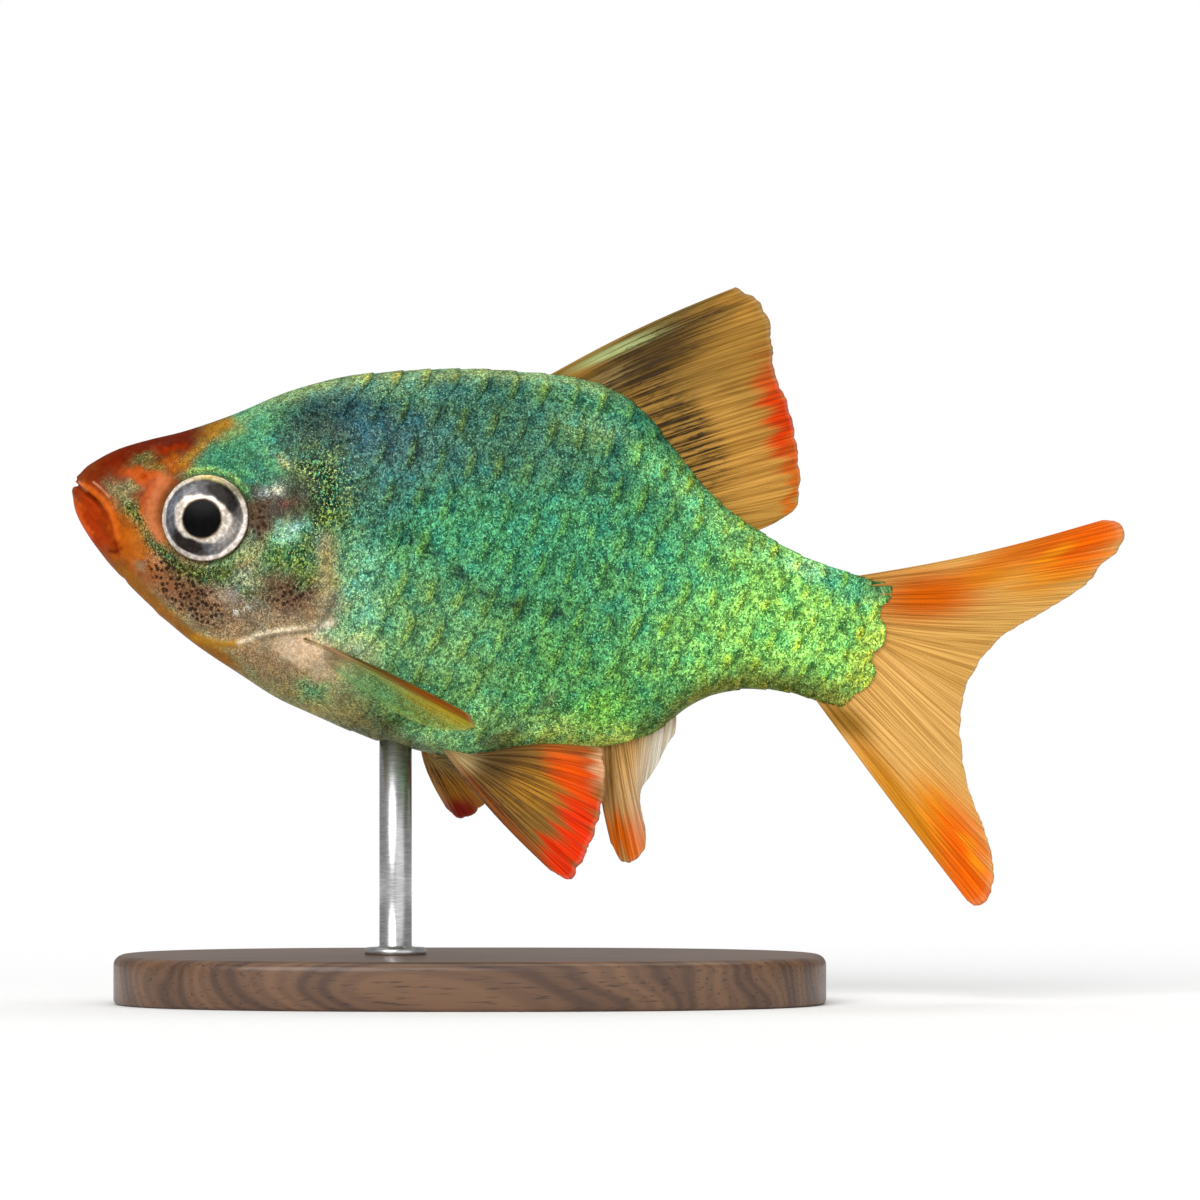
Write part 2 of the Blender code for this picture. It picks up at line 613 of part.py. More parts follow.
def main():
    clear_scene()
    skin = finish_material("green_skin", (0.10, 0.42, 0.25), 0.35, 0.2)
    snout_skin = finish_material("orange_skin", (0.60, 0.14, 0.02), 0.35)
    fin = finish_material("fin", (0.62, 0.36, 0.12), 0.45)
    eye_shell = finish_material("eye", (0.75, 0.73, 0.68), 0.1)
    wood = finish_material("stand_wood", (0.10, 0.055, 0.03), 0.4)
    steel = finish_material("stand_steel", (0.6, 0.6, 0.6), 0.3, 1.0)

    fish = bpy.data.objects.new("fish", None)
    bpy.context.scene.collection.objects.link(fish)
    fish.location = (SNOUT_X * MM, 0, SNOUT_Z * MM)
    fish.rotation_euler = (0, math.radians(PITCH), 0)

    body = make_body(fish)
    cutters = [path_slab("jaw_cut", MOUTH_LINE + JAW_BACK, fish)]
    cutters.append(path_slab("nape_cut", NAPE_CUT, fish))
    cutters.append(path_slab("stalk_cut", STALK_CUT, fish))
    for side, word in ((-1, "left"), (1, "right")):
        centre, outward = eye_place(side)
        turned("eye_" + word, eye_profile(0, EYE_FRONT), centre, outward, EYE_SIDES, eye_shell, fish)
        socket = eye_profile(GAP, EYE_CUT_FRONT)
        cutters.append(turned("orbit_" + word, socket, centre, outward, EYE_SIDES, None, fish))
        inner = -GILL_THICKNESS
        gill_plate("gill_cover_" + word, side, inner, GILL_RAISED, GILL_BULGE, 0, skin, fish)
        cutters.append(gill_plate("gill_bed_" + word, side, inner - GAP, GILL_CUT_OUT, 0, GAP, None, fish))
        at = np.array([NOSTRIL_X, side * float(half_width(NOSTRIL_X, NOSTRIL_Z)), NOSTRIL_Z])
        facing = side_normal(NOSTRIL_X, NOSTRIL_Z, side)
        pit = pit_profile(NOSTRIL_RADIUS)
        cutters.append(turned("nostril_" + word, pit, at, facing, ROUND_SIDES, None, fish))
    make_median_fins(fin, fish)
    make_paired_fins(fin, fish)
    carve(body, cutters)
    names = ("lower_jaw", "head", "trunk", "tail_stalk")
    split(body, names, (snout_skin, skin, skin, skin), fish)
    make_stand(wood, steel)


main()
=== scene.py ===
import math

import bpy
import numpy as np
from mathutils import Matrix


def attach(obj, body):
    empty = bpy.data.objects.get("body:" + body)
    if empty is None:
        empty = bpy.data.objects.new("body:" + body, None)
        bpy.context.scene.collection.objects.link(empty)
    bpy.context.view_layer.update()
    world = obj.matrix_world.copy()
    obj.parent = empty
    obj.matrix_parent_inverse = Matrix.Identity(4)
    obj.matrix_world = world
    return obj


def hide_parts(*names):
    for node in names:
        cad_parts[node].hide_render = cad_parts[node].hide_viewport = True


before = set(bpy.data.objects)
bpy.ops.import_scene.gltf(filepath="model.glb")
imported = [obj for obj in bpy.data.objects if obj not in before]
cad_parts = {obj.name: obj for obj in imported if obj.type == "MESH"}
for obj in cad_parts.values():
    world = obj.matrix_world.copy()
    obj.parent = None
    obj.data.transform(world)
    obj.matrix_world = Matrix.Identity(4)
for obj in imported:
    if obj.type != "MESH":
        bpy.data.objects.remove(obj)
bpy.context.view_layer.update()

# Skin of the body
# One unbroken skin runs from the lips to the root of the tail, with the mouth, nostrils, sockets and
# gill covers formed in it. It is drawn level, in millimetres: x back from the snout, z up, left at -y.
MM = 0.001
PITCH = math.radians(10.5)
SNOUT_X, SNOUT_Z = -32.5, 31.4
# Each section: x, back, belly, half width, height of the widest line
SECTIONS = (
    (0.0, 0.15, 0.15, 0.0, 0.15),
    (0.25, 1.5, -0.85, 0.85, 0.1),
    (1.0, 2.4, -1.95, 1.45, 0.0),
    (2.25, 3.35, -3.2, 2.0, -0.1),
    (4.0, 4.25, -4.6, 2.6, -0.2),
    (6.0, 5.15, -5.95, 3.2, -0.2),
    (9.0, 6.85, -7.7, 3.9, -0.4),
    (12.0, 8.8, -9.0, 4.4, -0.8),
    (15.0, 10.2, -10.2, 4.8, -1.0),
    (18.0, 11.15, -10.95, 5.0, -1.1),
    (22.0, 12.1, -11.6, 5.05, -1.0),
    (26.0, 12.65, -11.6, 4.9, -0.8),
    (30.0, 12.85, -10.75, 4.45, -0.5),
    (32.0, 12.45, -10.2, 4.15, -0.4),
    (34.0, 11.4, -9.65, 3.75, -0.3),
    (36.0, 9.65, -9.0, 3.3, -0.3),
    (38.0, 7.9, -7.9, 2.8, -0.2),
    (40.0, 6.55, -5.75, 2.4, -0.2),
    (42.0, 5.65, -4.6, 2.05, -0.1),
    (45.0, 4.6, -4.0, 1.65, 0.0),
    (48.0, 4.1, -4.2, 1.35, -0.1),
    (51.1, 3.9, -4.5, 1.1, -0.2),
)
BODY_END = 50.4
BACK_POWER, BELLY_POWER = 1.8, 2.0
END_BULGE, END_BULGE_FROM, END_MIDDLE_Z = 0.084, 46.0, -0.5
COAT_DEPTH, BARE_DEPTH = 0.13, 0.03
EYE_X, EYE_Z, EYE_RADIUS = 8.42, 0.09, 2.69
MOUTH_LINE = ((-0.6, 0.8), (0.2, 0.6), (1.0, 0.2), (1.7, -0.2), (2.5, -1.1), (3.1, -2.3), (3.4, -3.1))
JAW_BACK = ((3.4, -3.1), (3.7, -3.8), (4.0, -4.5), (3.9, -6.0))
LIP_FOLD = ((0.1, 0.95), (0.7, 0.85), (1.4, 0.68), (2.08, 0.38), (2.5, -0.2))
CHEEK_RIDGE = ((10.6, 2.4), (11.0, 0.5), (11.0, -2.5), (10.4, -4.8), (9.0, -6.2), (6.8, -6.0))
CHEEK_FOLD = ((11.7, 3.0), (12.0, 0.5), (12.0, -2.7), (11.4, -5.3), (10.2, -6.7), (8.0, -6.6))
# Each fold of the head: its path, depth, width
HEAD_FOLDS = ((LIP_FOLD, 0.12, 0.10), (JAW_BACK, 0.07, 0.16), (CHEEK_FOLD, 0.09, 0.20))
THROAT_FOLD = (
    (9.2, -7.1), (10.9, -7.3), (11.8, -7.1), (12.6, -6.6), (13.7, -6.1), (15.5, -5.5), (17.3, -4.9),
)
GILL_OUTLINE = (
    (12.0, 3.3), (13.2, 4.25), (14.8, 4.2), (15.9, 3.2), (16.8, 0.9), (17.15, -1.3), (17.1, -3.7),
    (16.3, -5.2), (14.3, -6.0), (12.3, -6.5), (11.2, -6.2), (11.5, -4.8), (11.9, -2.5), (12.0, 0.5),
)
NOSTRIL = (4.15, 1.95)
SHOULDER_X, SHOULDER_Z = 16.9, -6.8
HEAD_STATIONS, BODY_STATIONS, SIDES = 190, 130, 304
HEAD_LENGTH = 18.0


def hermite(knots, values, at):
    """Smooth curve through the values: a cubic between knots, with parabolic slopes at them."""
    knots, values = np.asarray(knots, float), np.asarray(values, float)
    step = np.diff(knots)
    chord = np.diff(values, axis=0) / (step if values.ndim == 1 else step[:, None])
    before, after = (step[:-1], step[1:]) if values.ndim == 1 else (step[:-1, None], step[1:, None])
    inner = (chord[:-1] * after + chord[1:] * before) / (before + after)
    slope = np.concatenate([chord[:1], inner, chord[-1:]])
    at = np.clip(at, knots[0], knots[-1])
    i = np.clip(np.searchsorted(knots, at, side="right") - 1, 0, len(step) - 1)
    wide = step[i] if values.ndim == 1 else step[i][..., None]
    t = (at - knots[i]) / step[i]
    t = t if values.ndim == 1 else t[..., None]
    return (
        values[i] * (1 + 2 * t) * (1 - t) ** 2
        + values[i + 1] * t**2 * (3 - 2 * t)
        + wide * (slope[i] * t * (1 - t) ** 2 - slope[i + 1] * t**2 * (1 - t))
    )


def along(points, at):
    """Points at shares of the length of the smooth curve through the given points."""
    points = np.asarray(points, float)
    length = np.concatenate([[0], np.cumsum(np.linalg.norm(np.diff(points, axis=0), axis=1))])
    return hermite(length / length[-1], points, np.asarray(at, float))


def section(x):
    """Back, belly, half width and widest height of the body at x."""
    table = np.array(SECTIONS)
    return np.moveaxis(hermite(np.sqrt(table[:, 0]), table[:, 1:], np.sqrt(np.maximum(x, 0))), -1, 0)


def half_width(x, z):
    """How far the plain side of the body stands from the middle plane."""
    back, belly, width, middle = section(np.asarray(x, float))
    above = np.asarray(z) > middle
    power = np.where(above, BACK_POWER, BELLY_POWER)
    reach = np.where(above, back - middle, middle - belly)
    share = np.clip(np.abs(z - middle) / np.maximum(reach, 1e-6), 0, 1)
    return width * (1 - share**power) ** (1 / power)


def side_normal(x, z, side):
    """Outward normal of the plain side of the body at (x, z), side -1 left and 1 right."""
    step = 0.05
    dx = (half_width(x + step, z) - half_width(x - step, z)) / (2 * step)
    dz = (half_width(x, z + step) - half_width(x, z - step)) / (2 * step)
    normal = np.array([-dx, side, -dz])
    return normal / np.linalg.norm(normal)


def rise(value, low, high):
    """Smooth step from 0 at low to 1 at high."""
    t = np.clip((value - low) / (high - low), 0, 1)
    return t * t * (3 - 2 * t)


def line_distance(path, x, z):
    """Distance of each (x, z) from a smooth path seen from the side."""
    nearest = np.full(np.shape(x), 1e9)
    for line_x, line_z in along(path, np.linspace(0, 1, 12 * len(path))):
        nearest = np.minimum(nearest, (x - line_x) ** 2 + (z - line_z) ** 2)
    return np.sqrt(nearest)


def hump(distance, width):
    """Bell curve, 1 at no distance."""
    return np.exp(-((distance / width) ** 2))


def inside_outline(outline, x, z):
    """Distance into a closed outline seen from the side, negative outside it."""
    rim = along(outline + outline[:1], np.linspace(0, 1, 160))
    crossed = np.zeros(np.shape(x), bool)
    for (x0, z0), (x1, z1) in zip(rim[:-1], rim[1:]):
        if z0 != z1:
            crossed ^= ((z0 > z) != (z1 > z)) & (x < (x1 - x0) * (z - z0) / (z1 - z0) + x0)
    return np.where(crossed, 1, -1) * line_distance(outline + outline[:1], x, z)


def skin_relief(x, z):
    """How far the forms of the head stand out of the plain body, and how deep its folds go."""
    from_mouth = line_distance(MOUTH_LINE, x, z)
    gape = 0.08 + 0.26 * rise(2.1 - x, 0, 0.9)
    lips = 0.15 * hump(from_mouth - 0.36, 0.32) - gape * hump(from_mouth, 0.10)
    from_throat = line_distance(THROAT_FOLD, x, z)
    folds = 0.08 * hump(from_throat, 0.14) - 0.10 * hump(from_throat - 0.3, 0.14)
    for path, depth, width in HEAD_FOLDS:
        folds -= depth * hump(line_distance(path, x, z), width)
    from_eye = np.hypot(x - EYE_X, z - EYE_Z)
    front = rise(EYE_X - 1.0 - x, 0, 1.5)
    socket = 0.14 * hump(from_eye - 3.15, 0.36) - 0.08 * hump(from_eye - 2.78, 0.10)
    socket -= 1.5 * (1 - rise(from_eye, 2.25, 2.72))
    socket -= front * 0.035 * (hump(from_eye - 3.42, 0.10) + hump(from_eye - 3.85, 0.12))
    ridge = 0.13 * hump(line_distance(CHEEK_RIDGE, x, z), 0.42)
    from_nostril = np.hypot(x - NOSTRIL[0], (z - NOSTRIL[1]) * 1.15)
    nostril = 0.03 * hump(from_nostril - 0.36, 0.14) - 0.38 * hump(from_nostril, 0.17)
    nostril += 0.05 * hump(np.hypot(x - NOSTRIL[0] - 0.05, (z - NOSTRIL[1]) * 0.6), 0.1)
    into_gill = inside_outline(GILL_OUTLINE, x, z)
    rear = np.maximum(rise(x, 12.8, 14.6), rise(-5.0 - z, 0, 1.0) * rise(x, 11.5, 13.0))
    cover = rear * (0.2 * rise(into_gill, -0.06, 0.10) + 0.08 * rise(into_gill, 0.1, 2.5))
    cover -= rear * 0.16 * hump(into_gill + 0.16, 0.12)
    cover += 0.03 * rear * rise(into_gill, 0.2, 0.8) * np.sin(2.4 * (z - 0.5 * x))
    shoulder = 0.42 * hump(np.hypot((x - SHOULDER_X) / 1.15, (z - SHOULDER_Z) / 1.1), 0.9)
    return lips + folds + socket + ridge + nostril + cover + shoulder


def skin_points(x, sides):
    """Rings of points round the body at each x, down the left side and up the right, with normals."""
    x = np.asarray(x, float)[:, None]
    turn = np.linspace(0, 2 * math.pi, sides, endpoint=False)[None, :]
    up, out = np.cos(turn), -np.sin(turn)
    back, belly, width, middle = (v[:, None] for v in section(x[:, 0]))
    width = width * (1 - 0.72 * rise(x, 47.6, BODY_END + 0.3))
    power = np.where(up > 0, BACK_POWER, BELLY_POWER)
    reach = np.where(up > 0, back - middle, middle - belly)
    z = middle + reach * np.sign(up) * np.abs(up) ** (2 / power)
    y = width * np.sign(out) * np.abs(out) ** (2 / power)
    points = np.stack(np.broadcast_arrays(x, y, z), -1)
    normal = np.cross(np.gradient(points, axis=0), np.roll(points, -1, 1) - np.roll(points, 1, 1))
    normal /= np.linalg.norm(normal, axis=-1, keepdims=True) + 1e-12
    normal *= np.sign((normal * np.stack([0 * y, y, z - middle], -1)).sum(-1, keepdims=True))
    depth = BARE_DEPTH + (COAT_DEPTH - BARE_DEPTH) * rise(x, 14.0, 18.0)
    lift = skin_relief(points[..., 0], points[..., 2]) - depth * rise(x, 0.1, 1.2)
    points += normal * lift[..., None]
    share = np.clip((x - END_BULGE_FROM) / (BODY_END - END_BULGE_FROM), 0, 1)
    slant = np.where(points[..., 2] > END_MIDDLE_Z, 0.06 * END_BULGE, END_BULGE)
    points[..., 0] -= slant * share * (points[..., 2] - END_MIDDLE_Z) ** 2
    return points, normal


def to_metres(points):
    """Points of the level fish, in millimetres, set head up in the frame, in metres."""
    x, y, z = np.moveaxis(np.asarray(points, float), -1, 0)
    across = SNOUT_X + x * math.cos(PITCH) + z * math.sin(PITCH)
    height = SNOUT_Z - x * math.sin(PITCH) + z * math.cos(PITCH)
    return MM * np.stack([across, y, height], -1)


def new_piece(name, points, faces, finish, body, nodes=(), layers=None, bake_map=None):
    """A closed, smooth piece of the model from points in metres, with a value of each layer at a point."""
    faces = [list(map(int, face)) for face in faces]
    corners = np.array([face[:3] for face in faces])
    a, b, c = (points[corners[:, k]] for k in range(3))
    outward = (np.cross(b - a, c - a) * (a - points.mean(0))).sum() > 0
    mesh = bpy.data.meshes.new(name)
    mesh.from_pydata(points.tolist(), [], faces)
    for layer, values in (layers or {}).items():
        values = np.asarray(values, np.float32)
        plain = values.ndim == 1
        attribute = mesh.attributes.new(layer, "FLOAT" if plain else "FLOAT_VECTOR", "POINT")
        attribute.data.foreach_set("value" if plain else "vector", values.ravel())
    if bake_map is not None:
        mesh.uv_layers.new(name="OFBake").data.foreach_set("uv", np.asarray(bake_map, np.float32).ravel())
    if not outward:
        mesh.flip_normals()
    mesh.shade_smooth()
    mesh.materials.append(finish)
    piece = bpy.data.objects.new(name, mesh)
    bpy.context.scene.collection.objects.link(piece)
    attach(piece, body)
    if nodes:
        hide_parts(*nodes)
    return piece


def round_faces(rows, columns):
    """Faces of a grid of points that closes round its columns."""
    at = np.arange(rows * columns).reshape(rows, columns)
    after = np.roll(at, -1, axis=1)
    return np.stack([at[:-1], at[1:], after[1:], after[:-1]], -1).reshape(-1, 4)


def dye(red, green, blue):
    """A colour in light values from the 0 to 255 values of a paint chart."""
    share = np.array([red, green, blue]) / 255
    return np.where(share < 0.04045, share / 12.92, ((share + 0.055) / 1.055) ** 2.4)


# Each dark mark of the lateral line: x, z, lean in degrees
LATERAL_LINE = (
    (21.2, 1.1, -20), (22.8, 0.5, -20), (24.4, -0.5, -25),
    (26.2, -1.4, -20), (28.2, -1.8, -8), (30.6, -1.8, 0),
)
# Each soft patch: x, z, half length, half height, lean in degrees, strength, colour, glitter
PATCHES = (
    # Flank, shoulder and tail stalk
    (30.0, -6.5, 15.0, 4.2, 0, 0.9, (84, 144, 78), 1.0),
    (21.5, -5.0, 6.0, 4.2, 0, 0.95, (106, 150, 96), 0.9),
    (18.5, 8.0, 7.5, 4.4, 8, 0.95, (45, 74, 82), 1.0),
    (27.0, 8.8, 6.4, 3.3, 0, 0.9, (64, 102, 80), 0.95),
    (46.8, 0.0, 8.8, 7.0, 0, 0.95, (140, 196, 90), 1.0),
    (37.3, 2.4, 2.8, 2.0, -20, 0.6, (60, 142, 98), 1.0),
    (48.0, 3.3, 2.6, 1.0, -8, 0.8, (74, 160, 118), 1.0),
    (50.0, -1.0, 0.9, 3.4, 0, 0.7, (178, 188, 66), 0.9),
    (50.2, 3.7, 1.2, 0.8, 0, 0.8, (70, 100, 62), 0.7),
    *((x, z, 0.62, 0.32, lean, 0.92, (16, 42, 36), 0.8) for x, z, lean in LATERAL_LINE),
    (18.4, -2.2, 1.5, 3.6, 10, 0.85, (120, 170, 128), 1.0),
    (18.7, 2.9, 1.9, 2.0, 0, 0.85, (50, 92, 80), 1.0),
    (16.7, 3.3, 0.9, 1.4, 0, 0.75, (38, 76, 86), 1.1),
    # Chest, belly and back
    (15.5, -8.8, 5.2, 1.9, -18, 0.97, (148, 130, 84), 0.4),
    (14.0, -7.9, 2.6, 1.1, -20, 0.9, (158, 130, 94), 0.25),
    (17.6, -9.9, 2.8, 1.0, -14, 0.9, (164, 152, 100), 0.5),
    # Painted light: this patch and the next are lighter than the belly's own colour, to lift the shade
    # under the belly.
    (30.0, -9.8, 5.5, 1.4, 4, 0.85, (134, 172, 104), 1.0),
    (33.9, -9.0, 3.2, 1.1, 8, 0.85, (214, 246, 122), 1.0),
    (34.6, -7.1, 1.6, 1.2, 30, 0.75, (128, 198, 84), 1.0),
    (34.9, 8.3, 1.5, 0.8, -45, 0.75, (130, 200, 124), 1.0),
    (45.2, 3.8, 1.2, 0.5, -8, 0.7, (184, 224, 144), 1.0),
    (27.3, -8.0, 1.0, 0.7, 0, 0.6, (150, 212, 132), 1.0),
    # Painted shadow: dark olive shade on the belly below the pectoral fin.
    (21.9, -10.4, 1.3, 0.6, -8, 0.7, (72, 68, 38), 0.7),
    # Painted light: lighter than the skin's own colour, to lift the shade under the tail stalk.
    (48.9, -3.8, 1.1, 1.0, 0, 0.85, (212, 236, 100), 1.0),
    (16.4, -4.5, 0.9, 1.2, 0, 0.8, (190, 176, 142), 0.6),
    (28.2, -10.2, 0.8, 0.5, 20, 0.7, (104, 92, 64), 0.6),
    (29.6, -9.3, 0.7, 0.45, 40, 0.6, (96, 94, 60), 0.7),
    (31.1, -7.2, 0.35, 0.9, -30, 0.6, (104, 104, 64), 0.8),
    (18.8, 9.9, 2.2, 0.8, 0, 0.8, (98, 136, 98), 1.0),
    (30.8, 9.8, 2.2, 0.7, 0, 0.8, (110, 146, 100), 1.0),
    (25.2, -10.8, 2.0, 0.9, 0, 0.9, (166, 236, 160), 1.0),
    (18.9, -6.6, 1.5, 1.2, 0, 0.8, (182, 190, 138), 0.6),
    (16.8, -9.2, 1.0, 0.6, 0, 0.8, (110, 160, 106), 0.9),
    # Painted highlight: a small cream highlight on the chest.
    (15.2, -7.35, 0.35, 0.28, 0, 0.8, (230, 204, 160), 0.2),
    # Nape, gill cover and cheek
    (10.6, 5.6, 2.7, 2.0, 38, 1.0, (104, 178, 130), 0.7),
    (13.7, 6.1, 2.6, 2.6, 0, 0.97, (32, 44, 48), 0.95),
    (13.9, 0.4, 3.0, 4.6, 0, 0.97, (64, 100, 62), 1.4),
    (14.9, 2.7, 1.5, 2.1, 0, 0.9, (40, 64, 40), 1.4),
    (13.3, 0.2, 1.25, 0.9, 10, 0.9, (162, 204, 162), 1.0),
    (14.0, 0.5, 0.2, 0.15, 0, 0.9, (236, 246, 236), 0.5),
    (12.6, -1.3, 0.9, 1.0, 0, 0.8, (98, 130, 66), 1.25),
    (15.3, -0.8, 1.0, 1.2, 0, 0.7, (72, 124, 80), 1.4),
    (8.9, -4.8, 4.4, 1.9, -27, 1.0, (174, 136, 104), 0.45),
    (8.5, -4.8, 1.9, 0.95, -34, 0.85, (88, 64, 44), 0.5),
    (8.6, -3.4, 2.4, 0.5, -6, 0.9, (62, 74, 34), 1.35),
    (12.1, -3.5, 1.5, 0.8, 30, 0.9, (66, 84, 48), 1.35),
    (12.3, -5.2, 1.9, 0.9, 0, 0.85, (122, 98, 76), 0.5),
    (15.0, -4.2, 2.4, 1.4, 18, 0.97, (152, 122, 96), 0.45),
    (14.5, -3.5, 2.2, 1.2, -15, 0.85, (100, 70, 52), 0.4),
    (15.3, -2.5, 0.9, 0.6, 20, 0.8, (92, 104, 50), 1.3),
    (16.6, -1.2, 0.5, 2.4, -4, 0.6, (116, 140, 86), 1.0),
    (12.6, 1.9, 2.0, 1.6, 20, 1.0, (68, 54, 44), 0.4),
    (13.4, 3.0, 0.9, 0.8, 0, 0.8, (56, 50, 38), 0.7),
    (12.1, 2.5, 0.8, 0.5, 40, 0.9, (160, 156, 144), 1.0),
    (11.95, 2.62, 0.22, 0.13, 10, 0.95, (236, 232, 224), 0.3),
    (12.45, 2.38, 0.14, 0.11, 0, 0.9, (228, 222, 206), 0.3),
    (11.65, 2.25, 0.13, 0.1, 0, 0.85, (214, 206, 204), 0.3),
    (13.2, 1.85, 0.42, 0.26, 0, 0.6, (96, 44, 40), 0.5),
    (12.7, 4.35, 0.6, 0.4, -20, 0.8, (142, 140, 100), 1.0),
    (11.6, 0.1, 0.9, 1.9, 0, 1.0, (92, 70, 56), 0.3),
    (11.4, -2.1, 1.1, 0.9, 0, 0.85, (146, 150, 108), 1.15),
    (11.4, -2.5, 0.6, 0.5, 0, 0.7, (108, 88, 70), 0.8),
    (10.7, -4.4, 0.75, 0.6, 0, 0.85, (158, 138, 122), 0.2),
    (5.5, -3.75, 1.0, 0.5, -40, 0.75, (196, 148, 110), 0.1),
    (11.4, -5.2, 0.24, 0.18, 0, 0.9, (206, 200, 190), 0.8),
    (12.0, -5.0, 0.2, 0.16, 0, 0.8, (200, 190, 176), 0.8),
    # Snout, brow and jaws
    (3.3, -0.4, 4.4, 6.5, 0, 1.0, (146, 74, 18), 0.0),
    (3.2, 2.2, 4.0, 2.2, 40, 1.0, (116, 26, 0), 0.0),
    (5.6, 4.3, 3.4, 0.95, 24, 1.0, (100, 26, 0), 0.0),
    (5.4, 3.85, 1.2, 0.22, 16, 0.6, (164, 50, 2), 0.0),
    (9.0, 4.1, 2.7, 1.4, 54, 0.98, (60, 124, 88), 0.75),
    (10.8, 3.8, 2.0, 1.0, -15, 0.9, (46, 104, 76), 0.75),
    (9.1, 5.7, 0.9, 0.6, 50, 0.6, (150, 164, 84), 0.5),
    (8.0, 5.75, 1.0, 0.5, 30, 0.97, (150, 100, 12), 0.2),
    (5.9, 3.0, 0.85, 0.5, 20, 0.85, (172, 90, 16), 0.3),
    (4.85, 1.7, 0.8, 0.5, 10, 0.9, (172, 72, 20), 0.0),
    (4.15, 1.95, 1.25, 0.55, 0, 0.85, (204, 92, 26), 0.0),
    (4.85, 1.7, 0.2, 0.14, -50, 0.7, (104, 40, 14), 0.0),
    (3.9, 2.9, 0.9, 0.42, 22, 0.9, (104, 94, 50), 0.8),
    (4.9, 2.6, 0.65, 0.3, -18, 0.85, (112, 94, 36), 0.65),
    (3.1, 0.3, 1.35, 0.7, -44, 0.95, (118, 110, 70), 0.8),
    (3.6, 1.2, 0.55, 0.36, 0, 0.8, (120, 110, 68), 0.8),
    (3.9, -1.9, 1.9, 1.0, -52, 1.0, (188, 96, 12), 0.0),
    (4.9, -2.7, 1.0, 0.7, -40, 0.8, (186, 106, 34), 0.05),
    (1.7, -1.4, 2.0, 0.95, -52, 1.0, (168, 52, 1), 0.0),
    (0.75, -1.55, 1.9, 0.34, -56, 0.9, (216, 88, 6), 0.0),
    (2.5, -1.7, 1.1, 0.3, -58, 0.7, (132, 50, 6), 0.0),
    (5.05, -3.55, 0.42, 0.4, 0, 0.8, (146, 122, 92), 0.1),
    (5.9, -2.95, 0.5, 0.36, 0, 0.8, (212, 146, 104), 0.1),
    # Root of the pectoral fin, and last touches on the head
    (15.9, -6.7, 2.1, 0.95, -14, 0.95, (222, 191, 160), 0.15),
    (16.8, -7.7, 1.3, 0.6, -20, 0.8, (216, 188, 150), 0.3),
    (13.1, 5.2, 1.1, 0.7, -20, 0.6, (42, 76, 60), 0.9),
    (14.3, 3.9, 1.0, 1.0, 0, 0.6, (50, 68, 42), 1.4),
    (15.4, -0.8, 0.8, 1.0, 0, 0.6, (52, 92, 60), 1.3),
    (11.6, -1.0, 0.5, 0.7, 0, 0.75, (140, 148, 104), 1.0),
    (11.5, -3.2, 0.9, 0.5, -10, 0.75, (154, 158, 128), 0.9),
    (3.3, -0.9, 0.35, 0.7, 20, 0.6, (124, 60, 14), 0.2),
)
OLIVE_BAND = ((3.7, -0.2), (4.44, -0.75), (5.5, -1.9), (7.1, -3.0), (8.8, -3.3), (10.3, -2.9))
LIP_LINE = ((0.5, 0.72), (1.2, 0.45), (1.9, 0.05), (2.5, -0.5), (2.95, -1.25), (3.2, -2.0))
# Each soft stripe: its path, width, strength, colour, glitter
STRIPES = (
    (((6.3, 3.0), (6.9, 3.85), (7.7, 4.95), (8.5, 6.1)), 0.28, 0.75, (166, 116, 26), 0.5),
    (((36.2, 7.6), (38.0, 6.5), (40.4, 5.2), (43.0, 4.3)), 0.9, 0.8, (134, 190, 112), 1.0),
    (OLIVE_BAND, 0.52, 0.95, (82, 86, 40), 1.3),
    (((5.45, 1.9), (5.05, 1.0), (4.98, 0.1), (5.2, -0.8), (5.85, -1.5)), 0.42, 0.95, (204, 122, 74), 0.0),
    (((4.75, 1.3), (4.45, 0.4), (4.5, -0.3)), 0.2, 0.5, (200, 84, 24), 0.0),
    (((7.0, 2.75), (8.4, 3.08), (9.7, 2.82), (10.55, 2.2)), 0.19, 0.85, (128, 162, 84), 0.9),
    (((9.0, -7.25), (9.9, -7.35), (11.0, -7.35), (11.9, -7.1)), 0.24, 0.9, (198, 144, 34), 0.0),
    (((11.8, -7.12), *THROAT_FOLD[3:]), 0.15, 0.95, (252, 236, 204), 0.1),
    (((15.9, 0.0), (16.4, -1.6), (16.5, -3.4), (16.0, -4.8)), 0.75, 0.65, (158, 136, 104), 0.45),
    # Painted shade: this stripe and the next darken the gape of the closed mouth.
    (((0.2, 0.6), (1.0, 0.2), (1.7, -0.2), (2.2, -0.7)), 0.10, 0.75, (100, 28, 8), 0.0),
    (((2.2, -0.7), (2.6, -1.2), (3.1, -2.3), (3.4, -2.95)), 0.13, 0.6, (136, 40, 4), 0.0),
    (LIP_LINE, 0.24, 0.8, (214, 104, 26), 0.0),
    # Painted highlights: this stripe and the next are pale lines along the fold of the upper lip.
    (((1.15, 1.0), (1.7, 0.7), (2.3, 0.28)), 0.07, 0.75, (230, 160, 120), 0.0),
    (((0.25, 0.85), (0.5, 0.6), (0.8, 0.4)), 0.08, 0.7, (226, 150, 108), 0.0),
    # Painted shade: the dark hook at the corner of the mouth.
    (((2.9, -3.0), (3.3, -2.95), (3.6, -2.7)), 0.12, 0.8, (110, 34, 6), 0.0),
)
FLANK = (64, 132, 90)
# BELLY_RIM is the belly edge's olive tint, lightened as painted light to lift the shade at the belly's
# edge.
BACK_RIM, BELLY_RIM, STALK_RIM, THROAT = (140, 158, 100), (124, 118, 86), (104, 106, 38), (156, 98, 18)
